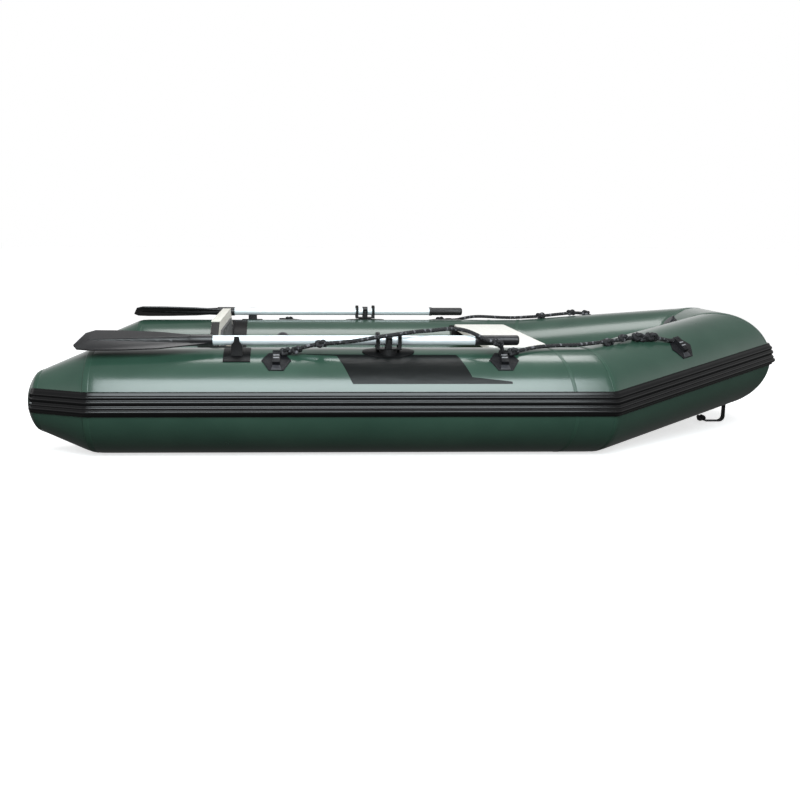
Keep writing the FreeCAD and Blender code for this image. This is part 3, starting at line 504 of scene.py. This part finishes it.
def ring_piece(name, rings, material, side=-1, body="root", closed_ends=(False, False), flip=False):
    """Closed cross-sections joined into a skin, with optional fan-closed ends.

    rings is an array [stations, points round, 3] for the starboard side.
    """
    rings = np.asarray(rings)
    uv = sheet_uv(rings)
    stations, around = rings.shape[:2]
    faces = grid_faces(stations, around, wrap_columns=True).tolist()
    points = rings.reshape(-1, 3)
    for end, index in ((0, 0), (1, stations - 1)):
        if closed_ends[end]:
            middle = len(points)
            points = np.vstack([points, rings[index].mean(axis=0)])
            uv = np.vstack([uv, [[0.0, 0.0]]])
            start = index * around
            loop = [start + k for k in range(around)]
            pairs = list(zip(loop, loop[1:] + loop[:1]))
            faces += [[b, a, middle] if end else [a, b, middle] for a, b in pairs]
    if side > 0:
        points = points * MIRROR
    if (side > 0) != flip:
        faces = [face[::-1] for face in faces]
    return add_piece(name, points, faces, material, body, uv)


def nurbs_samples(points, spacing=0.003):
    """Even samples of the smooth NURBS line that has these control points."""
    data = bpy.data.curves.new("line", "CURVE")
    data.dimensions = "3D"
    data.resolution_u = 24
    spline = data.splines.new("NURBS")
    spline.points.add(len(points) - 1)
    flat = np.hstack([np.asarray(points, float), np.ones((len(points), 1))])
    spline.points.foreach_set("co", flat.ravel())
    spline.order_u = 3
    spline.use_endpoint_u = True
    holder = bpy.data.objects.new("line", data)
    mesh = bpy.data.meshes.new_from_object(holder)
    line = np.zeros(len(mesh.vertices) * 3)
    mesh.vertices.foreach_get("co", line)
    line = line.reshape(-1, 3)
    bpy.data.objects.remove(holder)
    bpy.data.meshes.remove(mesh)
    bpy.data.curves.remove(data)
    travel = np.concatenate([[0.0], np.cumsum(np.linalg.norm(np.diff(line, axis=0), axis=1))])
    count = max(8, int(travel[-1] / spacing))
    even = np.linspace(0.0, travel[-1], count)
    return np.stack([np.interp(even, travel, line[:, axis]) for axis in range(3)], axis=1), travel[-1]


def braided_tube(line, radius, around=20):
    """Rope skin round a line: a circle whose radius swells where the yarns cross.

    radius (1 + 0.07 cos(k s + 4 a) cos(k s - 4 a)), s along the rope and a round it.
    """
    tangent = np.gradient(line, axis=0)
    tangent /= np.linalg.norm(tangent, axis=1, keepdims=True)
    across = np.cross(tangent, [0.0, 0.0, 1.0])
    across /= np.linalg.norm(across, axis=1, keepdims=True)
    upward = np.cross(across, tangent)
    travel = np.concatenate([[0.0], np.cumsum(np.linalg.norm(np.diff(line, axis=0), axis=1))])
    angle = np.arange(around) * 2 * math.pi / around
    phase = travel[:, None] * (2 * math.pi / 0.024)
    swell = 1.0 + 0.07 * np.cos(phase + 4 * angle) * np.cos(phase - 4 * angle)
    reach = radius * 1.22 * swell[..., None]
    rings = (line[:, None, :] + across[:, None, :] * np.cos(angle)[None, :, None] * reach
             + upward[:, None, :] * np.sin(angle)[None, :, None] * reach)
    return rings


def knot_line(centre, along, size):
    """Trefoil line laid along a rope: a tight overhand knot of a given half width."""
    t = np.linspace(0.0, 2 * math.pi, 120)
    side = unit(np.cross(along, [0.0, 0.0, 1.0]))
    up = np.cross(side, along)
    a = (np.sin(t) + 2 * np.sin(2 * t)) / 3.0
    b = (np.cos(t) - 2 * np.cos(2 * t)) / 3.0
    c = -np.sin(3 * t)
    return centre + size * (a[:, None] * along * 1.25 + b[:, None] * side + 0.55 * c[:, None] * up)


def rope_knot(name, centre, along, size, side):
    """Knot made of the same rope, drawn tight round it."""
    line = knot_line(np.asarray(centre), unit(along), size)
    rings = braided_tube(line, ROPE_R)
    return ring_piece(name, rings[:-1], ROPE, side)


# ---------------------------------------------------------------- lifelines
def entry(share_back):
    """Point in line with the bow patch's loop, a share of the bow axis behind its face."""
    face = BOW_PATCH_T - LOOP_HALF / BOW_LENGTH
    return on_bow(face - share_back, BOW_ROPE_ANGLE, ROPE_RIDE)


def patch_end(x, direction):
    """Where a rope meets a side patch's loop."""
    return on_tube(x + direction * LOOP_HALF, ROPE_ANGLE, ROPE_RIDE)


ROUTES = {
    ("aft", "starboard"): [
        patch_end(AFT_PATCH_X, 1), on_tube(-0.528, ROPE_ANGLE, ROPE_RIDE), (-0.488, -0.642, 0.409),
        (-0.421, -0.649, 0.425), (-0.340, -0.657, 0.432), (-0.267, -0.668, 0.441), (-0.204, -0.677, 0.454),
        (-0.145, -0.677, 0.4625), (-0.088, -0.663, 0.469), (-0.041, -0.622, 0.470), (0.015, -0.593, 0.470),
        (0.066, -0.581, 0.475), (0.107, -0.585, 0.476), (0.140, -0.605, 0.471), (0.170, -0.635, 0.460),
        (0.200, -0.656, 0.444), (0.234, -0.663, 0.431), on_tube(0.266, 26.0, 0.24115),
        on_tube(0.266, 26.0, 0.21715)],
    ("aft", "port"): [
        patch_end(AFT_PATCH_X, 1), on_tube(-0.526, ROPE_ANGLE, ROPE_RIDE), on_tube(-0.478, 27.5, 0.2095),
        on_tube(-0.400, 35.0, 0.2095), on_tube(-0.290, 33.5, 0.2095), on_tube(-0.180, 36.0, 0.2095),
        on_tube(-0.075, 33.0, 0.210), on_tube(0.030, 37.0, 0.2095), on_tube(0.125, 33.0, 0.2095),
        on_tube(0.190, 26.5, 0.2095), on_tube(0.230, ROPE_ANGLE, ROPE_RIDE), patch_end(MID_PATCH_X, -1)],
    ("fore", "starboard"): [
        patch_end(MID_PATCH_X, 1), on_tube(0.311, ROPE_ANGLE, ROPE_RIDE), on_tube(0.352, 18.0, 0.213),
        on_tube(0.418, 11.0, 0.214), on_tube(0.490, 7.0, 0.214), on_tube(0.565, 5.0, 0.214),
        on_bow(0.05, 5.5, 0.215), on_bow(0.13, 9.0, 0.214), on_bow(0.20, 14.0, 0.214),
        on_bow(0.265, 16.0, 0.215), on_bow(0.33, 21.0, 0.215), on_bow(0.385, 27.5, 0.214),
        on_bow(0.425, 33.0, 0.211), entry(0.022), entry(0.0)],
    ("fore", "port"): [
        patch_end(MID_PATCH_X, 1), on_tube(0.311, ROPE_ANGLE, ROPE_RIDE), on_tube(0.345, 16.0, 0.212),
        on_tube(0.392, 7.0, 0.217), on_tube(0.447, 2.0, 0.216), on_tube(0.520, 0.0, 0.212),
        on_tube(0.590, 3.0, 0.2105), on_bow(0.07, 1.0, 0.211), on_bow(0.15, -2.0, 0.211),
        on_bow(0.225, 4.0, 0.212), on_bow(0.295, 8.0, 0.214), on_bow(0.355, 11.0, 0.216),
        on_bow(0.405, 20.0, 0.214), on_bow(0.437, 31.0, 0.211), entry(0.018), entry(0.0)],
}
KNOTS = {("aft", "starboard"): ((0.025, 0.014, 0.004), (0.07, 0.012, -0.002), (0.175, 0.0135, 0.002),
                               (0.955, 0.014, 0.006)),
         ("aft", "port"): ((0.03, 0.013, 0.002), (0.5, 0.0125, 0.002), (0.97, 0.013, 0.002)),
         ("fore", "starboard"): ((0.035, 0.014, 0.003), (0.59, 0.015, -0.005), (0.68, 0.0125, 0.005),
                                 (0.775, 0.016, 0.002), (0.815, 0.014, -0.004), (0.86, 0.017, 0.003)),
         ("fore", "port"): ((0.61, 0.014, 0.002), (0.80, 0.013, 0.002), (0.90, 0.012, 0.004))}


def make_lifelines():
    """Braided lifelines between the patches, with their knots."""
    for (bay, side_name), route in ROUTES.items():
        side = SIDES[side_name]
        route = np.asarray([np.asarray(point, float) for point in route])
        line, length = nurbs_samples(route)
        name = "lifeline_%s_%s" % (bay, side_name)
        rings = braided_tube(line, ROPE_R)
        rope = ring_piece(name + "_rope", rings, ROPE, side, closed_ends=(True, True))
        for index, (share, size, lift) in enumerate(KNOTS[(bay, side_name)]):
            place = int(share * (len(line) - 1))
            along = line[min(place + 2, len(line) - 1)] - line[place - 2]
            knot_name = "%s_knot_%d" % (name, index + 1)
            rope_knot(knot_name, line[place] + (0, 0, lift), along, size, side)
        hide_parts(name)


# ---------------------------------------------------------------- hull skins
CORNER_PLANES = [unit(FORWARD + BOW_DIR), unit(BOW_DIR + NOSE_DIR), NOSE_DIR]


def cross_plane(points, directions, plane_point, normal):
    """Where lines from points meet a plane: p + d ((q - p) . n) / (d . n)."""
    gap = (plane_point - points) @ normal
    return points + directions * (gap / (directions @ normal))[:, None]


def corner_rings(offsets, stern_ring):
    """Rings of a section carried along the axis, at each bend from the stern to the centre plane.

    offsets is [points, 2], outward and upward of the axis; stern_ring is the ring at the cone's end.
    """
    ring = SHOULDER + offsets @ SIDE_FRAME
    rings = [stern_ring, ring]
    bends = [(KINK, FORWARD), (CORNER, BOW_DIR), (CORNER * (1, 0, 1), NOSE_DIR)]
    for (place, direction), normal in zip(bends, CORNER_PLANES):
        ring = cross_plane(ring, np.broadcast_to(direction, ring.shape), place, normal)
        rings.append(ring)
    return np.array(rings)


def rounded_chain(corners, reaches, steps, bend_steps=9):
    """Rings along straight stretches whose corners are eased by quadratic curves.

    Between bends a point runs straight; at bend k it follows (1-t)^2 a + 2 t (1-t) c + t^2 b,
    with a and b a reach before and after the corner c.
    """
    rings = []
    marks = []
    for k in range(len(corners) - 1):
        step = corners[k + 1] - corners[k]
        direction = step / np.linalg.norm(step, axis=1, keepdims=True)
        start = corners[k] + direction * reaches[k]
        end = corners[k + 1] - direction * reaches[k + 1]
        shares = np.linspace(0.0, 1.0, steps[k])[:, None, None]
        marks.append(len(rings))
        rings.extend(start + (end - start) * shares)
        if k + 2 < len(corners):
            after = corners[k + 2] - corners[k + 1]
            after = after / np.linalg.norm(after, axis=1, keepdims=True)
            t = np.linspace(0.0, 1.0, bend_steps)[1:-1, None, None]
            far = corners[k + 1] + after * reaches[k + 1]
            rings.extend((1 - t) ** 2 * end + 2 * t * (1 - t) * corners[k + 1] + t ** 2 * far)
    marks.append(len(rings) - 1)
    return np.array(rings), marks


AROUND = 96
BEND_STEPS = 9
REACHES = (0.0, 0.012, 0.035, 0.028, 0.028, 0.0)
STEPS = (4, 14, 60, 34, 12)


def tube_chain(lift=0.0):
    """Rings of the tubes' outer skin from the stern dome's foot to the centre plane."""
    angle = np.arange(AROUND) * 2 * math.pi / AROUND
    circle = np.stack([np.sin(angle), np.cos(angle)], axis=1)
    radius = TUBE_R + lift
    dome_r = (CONE_END_R ** 2 + CAP_DEPTH ** 2) / (2 * CAP_DEPTH)
    foot = SHOULDER - FORWARD * CONE_LENGTH
    end_ring = foot + (circle * (CONE_END_R + lift)) @ SIDE_FRAME
    open_angle = math.asin(CONE_END_R / dome_r)
    centre_x = foot[0] - CAP_DEPTH + dome_r
    inner = open_angle * 0.8
    dome_ring = np.array([centre_x - (dome_r + lift) * math.cos(inner), foot[1], foot[2]])
    dome_ring = dome_ring + (circle * (dome_r + lift) * math.sin(inner)) @ SIDE_FRAME
    corners = corner_rings(circle * radius, end_ring)
    corners = np.concatenate([[dome_ring], corners])
    rings, marks = rounded_chain(corners, REACHES, STEPS, BEND_STEPS)
    shrink = np.linspace(0.02, 0.8, 9)[:-1]
    dome = []
    for share in shrink:
        turn = open_angle * share
        middle = np.array([centre_x - (dome_r + lift) * math.cos(turn), foot[1], foot[2]])
        dome.append(middle + (circle * (dome_r + lift) * math.sin(turn)) @ SIDE_FRAME)
    return np.concatenate([dome, rings]), [mark + len(dome) for mark in marks]


def inflate(rings, marks):
    """Soft look of pressured cloth: shallow puckers that fade away from each mitre.

    Each pucker is a wave round the tube times a bell along it, pushed in along the radius.
    """
    centres = rings.mean(axis=1, keepdims=True)
    radial = rings - centres
    radial = radial / np.maximum(np.linalg.norm(radial, axis=2, keepdims=True), 1e-6)
    angle = np.arange(AROUND) * 2 * math.pi / AROUND
    travel = np.concatenate([[0], np.cumsum(np.linalg.norm(np.diff(centres[:, 0], axis=0), axis=1))])
    push = np.zeros(rings.shape[:2])
    creases = ((2, 0.0012, 0.045, 26, 0.4, 0.3), (3, 0.0016, 0.05, 22, 1.1, 1.0),
               (4, 0.0016, 0.05, 20, 2.0, 1.0))
    for mark, depth, width, waves, phase, inner in creases:
        bell = np.exp(-((travel - travel[marks[mark] - (BEND_STEPS - 1) // 2]) / width) ** 2)
        side = 0.5 + 0.5 * inner * np.sin(angle + math.pi)
        wave = 0.5 + 0.5 * np.sin(waves * angle + phase + 1.7 * np.sin(3 * angle))
        push += depth * bell[:, None] * (side * wave)[None, :]
    return rings - radial * push[..., None]


def make_tubes():
    """Skins of the stern cones, side tubes, bow tubes and nose, cut from one chain of rings."""
    rings, marks = tube_chain()
    rings = inflate(rings, marks)
    shoulder, kink, corner = (marks[k] - (BEND_STEPS - 1) // 2 for k in (2, 3, 4))
    for name, side in SIDES.items():
        spans = {"stern_cone_": (0, shoulder + 1), "side_tube_": (shoulder, kink + 1),
                 "bow_tube_": (kink, corner + 1)}
        for label, (start, stop) in spans.items():
            ends = (start == 0, False)
            skin = ring_piece(label + name + "_skin", rings[start:stop], HULL, side, closed_ends=ends)
            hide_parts(label + name)
    half = rings[corner:]
    whole = np.concatenate([half, (half[:-1] * MIRROR)[::-1]])
    nose = ring_piece("nose_tube_skin", whole, HULL, -1)
    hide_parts("nose_tube")


def band(rings, near, far):
    """Rings between two places of travel along the chain, resampled evenly."""
    centres = rings.mean(axis=1)
    travel = np.concatenate([[0], np.cumsum(np.linalg.norm(np.diff(centres, axis=0), axis=1))])
    places = np.linspace(near, far, 9)
    flat = rings.reshape(len(rings), -1)
    picked = np.stack([np.interp(places, travel, flat[:, k]) for k in range(flat.shape[1])], axis=1)
    return picked.reshape(len(places), -1, 3)


def make_seams():
    """Glued tapes over the joints, each a thin raised band that sinks in at its edges."""
    outer, marks = tube_chain(0.0006)
    inner, _ = tube_chain(-0.0006)
    centres = outer.mean(axis=1)
    travel = np.concatenate([[0], np.cumsum(np.linalg.norm(np.diff(centres, axis=0), axis=1))])
    shoulder, kink, corner = (travel[marks[k] - (BEND_STEPS - 1) // 2] for k in (2, 3, 4))
    spots = {"shoulder": (shoulder, 0.012), "kink": (kink, 0.007), "corner": (corner, 0.016),
             "panel": (shoulder + 1.727, 0.006), "cone_end": (travel[marks[1]], 0.010)}
    for name, side in SIDES.items():
        for label, (place, half) in spots.items():
            over = band(outer, place - half, place + half)
            under = band(inner, place - half, place + half)
            rings = np.concatenate([under[:1], over, under[-1:]])
            tape = ring_piece("seam_%s_%s" % (label, name), rings, TAPE, side)


# ---------------------------------------------------------------- rub strake
STRAKE_OUTLINE = [(-0.016, -0.026), (-0.001, -0.0265), (0.003, -0.025), (0.005, -0.019), (0.010, -0.0165),
                  (0.0135, -0.0125), (0.0145, -0.0080), (0.0130, -0.0030), (0.0095, -0.0003),
                  (0.0080, 0.0006), (0.0092, 0.0030), (0.0092, 0.0075), (0.0068, 0.0110),
                  (0.0042, 0.0135), (0.0038, 0.0160), (0.0060, 0.0190), (0.0080, 0.0225),
                  (0.0080, 0.0280), (0.0058, 0.0320), (0.0022, 0.0348), (0.0020, 0.0368),
                  (0.0040, 0.0398), (0.0048, 0.0430), (0.0040, 0.0468), (0.0010, 0.0498),
                  (-0.0012, 0.0520), (-0.0038, 0.0590), (-0.0055, 0.0628), (-0.0080, 0.0640),
                  (-0.018, 0.0640)]


def make_strake():
    """Ribbed rubbing strake swept round the hull at the tubes' widest line."""
    outline = np.array(STRAKE_OUTLINE)
    offsets = outline + (TUBE_R, 0.0)
    aft = unit([-CONE_LENGTH, TUBE_R - CONE_END_R, 0.0])
    start = SHOULDER + offsets @ SIDE_FRAME
    mitre = unit(FORWARD - aft)
    met = cross_plane(start, np.broadcast_to(FORWARD, start.shape), SHOULDER - (0, TUBE_R, 0), mitre)
    length = math.hypot(CONE_LENGTH, TUBE_R - CONE_END_R) + 0.004
    out = turned(SIDE_FRAME[:1], -FORWARD, aft)[0]
    foot = SHOULDER - (0, TUBE_R, 0) + aft * length
    end = foot + np.outer(outline[:, 0], out) + np.outer(outline[:, 1], (0, 0, 1))
    rings = corner_rings(offsets, end)
    rings[1] = met
    reaches = (0.0, 0.012, 0.014, 0.014, 0.0)
    chain, marks = rounded_chain(rings, reaches, (12, 90, 46, 12), 7)
    shoulder, kink = (marks[k] - 3 for k in (1, 2))
    for name, side in SIDES.items():
        lengths = (("stern_", None, (0, shoulder + 1), (True, False)),
                   ("side_", "rub_strake_side_" + name, (shoulder, kink + 1), (False, False)))
        for label, node, (a, b), ends in lengths:
            part = ring_piece("rub_strake_" + label + name + "_skin", chain[a:b], STRAKE, side,
                              closed_ends=ends, flip=True)
            if node:
                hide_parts(node)
            elif side < 0:
                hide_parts("rub_strake_stern")
    half = chain[kink:]
    whole = np.concatenate([half, (half[:-1] * MIRROR)[::-1]])
    bow = ring_piece("rub_strake_bow_skin", whole, STRAKE, -1, flip=True)
    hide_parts("rub_strake_bow")


# ---------------------------------------------------------------- side graphic
def make_flash():
    """Thin black film on each side tube, wider at its middle and drawn out forward; aft of it the same mesh
    runs on as a thin dark strip under the aft lifeline.
    """
    x = np.linspace(-0.495, 0.291, 180)
    # From x -0.495 to -0.346 the mesh is only a thin dark strip, 21 to 25.5 degrees out from the crest, lying
    # under the aft lifeline.
    top = np.interp(x, [-0.495, -0.346, 0.099, 0.146, 0.291], [21.0, 22.5, 23.5, 55.5, 60.5])
    low = np.interp(x, [-0.495, -0.346, -0.290, 0.291], [21.4, 25.5, 63.0, 63.0])
    share = np.linspace(0.0, 1.0, 24)
    angle = np.radians(top[:, None] + (np.maximum(low - top, 0.3))[:, None] * share)
    reach = TUBE_R + 0.0007
    grid = np.stack([np.broadcast_to(x[:, None], angle.shape), -HALF_BEAM - reach * np.sin(angle),
                     TUBE_R + reach * np.cos(angle)], axis=-1)
    faces = grid_faces(*angle.shape)
    for name, side in SIDES.items():
        points = grid.reshape(-1, 3) * (MIRROR if side > 0 else 1.0)
        wound = faces if side > 0 else faces[:, ::-1]
        film = add_piece("side_flash_" + name, points, wound, FLASH, uv=sheet_uv(grid))


# ---------------------------------------------------------------- fittings from the frame
def softened(node, material, width=0.0015, segments=2, body="root", sharp=28.0):
    """Copy of a CAD node with its doubles merged and its hard edges rounded over."""
    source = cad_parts[node]
    shape = bmesh.new()
    shape.from_mesh(source.data)
    bmesh.ops.remove_doubles(shape, verts=shape.verts, dist=2e-5)
    bmesh.ops.dissolve_limit(shape, angle_limit=math.radians(0.6), verts=shape.verts, edges=shape.edges)
    limit = math.radians(sharp)
    hard = [edge for edge in shape.edges if edge.is_manifold and edge.calc_face_angle(0.0) > limit]
    bmesh.ops.bevel(shape, geom=hard, offset=width, offset_type="OFFSET", segments=segments, profile=0.6,
                    affect="EDGES", clamp_overlap=True)
    bmesh.ops.remove_doubles(shape, verts=shape.verts, dist=1e-6)
    for face in shape.faces:
        face.smooth = True
    for edge in shape.edges:
        edge.smooth = not edge.is_manifold or edge.calc_face_angle(0.0) < math.radians(35.0)
    mesh = bpy.data.meshes.new(node + "_finish")
    shape.to_mesh(mesh)
    shape.free()
    mesh.materials.append(material)
    piece = bpy.data.objects.new(node + "_finish", mesh)
    bpy.context.scene.collection.objects.link(piece)
    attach(piece, body)
    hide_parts(node)
    return piece


def slab(name, centre, ahead, middle_angle, low, high, widths, radius, thick, material, side):
    """Thin strap lying round a tube: a flat section carried round from one offset to another.

    Offsets are arc lengths from the middle angle, widths are half widths at both ends.
    """
    offsets = np.linspace(low, high, 7)
    half = np.interp(offsets, [low, high], widths)
    out0, up0 = (BOW_FRAME if ahead is BOW_DIR else SIDE_FRAME)
    corners = [(-1.0, -0.0012), (-1.0, 0.4 * thick), (-0.9, thick), (0.9, thick), (1.0, 0.4 * thick),
               (1.0, -0.0012)]
    rings = []
    for offset, width in zip(offsets, half):
        turn = math.radians(middle_angle) + offset / radius
        outward = out0 * math.sin(turn) + up0 * math.cos(turn)
        rings.append([centre + ahead * (along * width) + outward * (radius + rise)
                      for along, rise in corners])
    return ring_piece(name, rings, material, side, closed_ends=(True, True))


def make_patch_straps():
    """Pale stepped straps over the black lifeline patches."""
    bow_centre = KINK + (CORNER - KINK) * BOW_PATCH_T
    places = {"aft": (KINK * (0, 1, 1) + (AFT_PATCH_X, 0, 0), FORWARD, PATCH_ANGLE),
              "mid": (KINK * (0, 1, 1) + (MID_PATCH_X, 0, 0), FORWARD, PATCH_ANGLE),
              "bow": (bow_centre, BOW_DIR, BOW_PATCH_ANGLE)}
    steps = (("upper_bar", -0.0165, -0.0115, (0.0110, 0.0110), 0.2170, GREY_STRAP),
             ("lower_bar", -0.0020, 0.0030, (0.0110, 0.0115), 0.2170, GREY_STRAP),
             ("foot", 0.024, 0.045, (0.0130, 0.0190), 0.2028, DARK_STRAP))
    for name, side in SIDES.items():
        for bay, (centre, ahead, angle) in places.items():
            for label, low, high, widths, radius, material in steps:
                strap = slab("patch_%s_%s_%s" % (label, bay, name), centre, ahead, angle, low, high, widths,
                             radius, 0.0008, material, side)


def make_tow_strap():
    """Webbing tow strap: hangs from its patch, turns aft on the floor and ends in a knot."""
    low, bend, width, thick = 0.001, 0.022, TOW_WIDTH / 2, 0.0028
    turn = np.linspace(0.0, math.pi / 2, 14)
    middle = low + thick / 2 + bend
    drop = np.linspace(0.124, middle, 18)[:-1]
    run = np.linspace(TOW_X - bend, TOW_X - 0.082, 12)[1:]
    path = [(TOW_X, z) for z in drop]
    path += [(TOW_X - bend + bend * math.cos(t), middle - bend * math.sin(t)) for t in turn]
    path += [(x, middle - bend) for x in run]
    path = np.array(path)
    tangent = np.gradient(path, axis=0)
    tangent /= np.linalg.norm(tangent, axis=1, keepdims=True)
    normal = np.stack([tangent[:, 1], -tangent[:, 0]], axis=1)
    section = [(-1.0, 0.0), (-0.97, 0.45), (-0.5, 0.5), (0.0, 0.5), (0.5, 0.5), (0.97, 0.45), (1.0, 0.0),
               (0.97, -0.45), (0.5, -0.5), (0.0, -0.5), (-0.5, -0.5), (-0.97, -0.45)]
    rings = np.array([[(place[0] + aside[0] * rise * thick, across * width,
                        place[1] + aside[1] * rise * thick)
                       for across, rise in section] for place, aside in zip(path, normal)])
    strap = ring_piece("tow_strap_webbing", rings, WEBBING, closed_ends=(True, True))
    line = knot_line(np.array([TOW_X - 0.099, 0.0, 0.0155]), np.array([1.0, 0.0, 0.0]), 0.0125)
    knot = ring_piece("tow_strap_knot", braided_tube(line, 0.0052)[:-1], WEBBING)
    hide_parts("tow_strap")


def darken_ends(piece, material):
    """Gives the faces that look to port or starboard a second material."""
    mesh = piece.data
    mesh.materials.append(material)
    normals = np.zeros(3 * len(mesh.polygons))
    mesh.polygons.foreach_get("normal", normals)
    sideways = np.abs(normals.reshape(-1, 3)[:, 1]) > 0.45
    mesh.polygons.foreach_set("material_index", sideways.astype(np.int32))


def paint(node, material):
    """Gives a CAD node, kept as it is, a new material."""
    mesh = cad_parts[node].data
    mesh.materials.clear()
    mesh.materials.append(material)


def make_fittings():
    """Every small part that keeps its CAD shape, with softened edges and its own finish."""
    for name in SIDES:
        softened("transom_holder_" + name, MOULDED, 0.0012)
        softened("thwart_bracket_" + name, MOULDED, 0.004, 3)
        softened("oarlock_base_" + name, MOULDED, 0.0016)
        softened("oar_clip_" + name, MOULDED, 0.0022)
        for bay in ("aft", "mid", "bow"):
            softened("lifeline_patch_%s_%s" % (bay, name), PATCH, 0.0008)
        softened("oarlock_yoke_" + name, MOULDED, 0.0015, body="oarlock_" + name)
        softened("oar_collar_" + name, OAR_BLACK, 0.0018, body="oar_" + name)
        paint("oar_spigot_" + name, METAL)
        for half in ("oar_shaft_aft_", "oar_shaft_fore_"):
            softened(half + name, METAL, 0.0004, body="oar_" + name)
        softened("oar_blade_" + name, OAR_BLACK, 0.0015, body="oar_" + name)
        softened("oar_grip_" + name, OAR_BLACK, 0.0012, body="oar_" + name)
    darken_ends(softened("transom_board", TRANSOM, 0.004, 3), MOULDED)
    softened("transom_cap", TRANSOM, 0.0014)
    softened("motor_pad_inner", PAD, 0.002)
    softened("motor_pad_outer", PAD, 0.002)
    softened("motor_pad_screws", SCREW, 0.0008)
    softened("drain_socket", VALVE, 0.001)
    softened("drain_plug", VALVE, 0.0012, body="drain_plug")
    softened("thwart_board", THWART, 0.0015)
    softened("floor_slats", SLAT, 0.0025)
    softened("tow_patch", PATCH, 0.0008)
    softened("valve_bodies", VALVE, 0.0012)
    for name in ("starboard", "port", "bow"):
        softened("valve_cap_" + name, VALVE, 0.0008, body="valve_cap_" + name)
    paint("hull_bottom", HULL)
    paint("chamber_baffles", HULL)


make_camera()
make_lifelines()
make_studio()
make_tubes()
make_seams()
make_strake()
make_flash()
make_fittings()
make_patch_straps()
make_tow_strap()
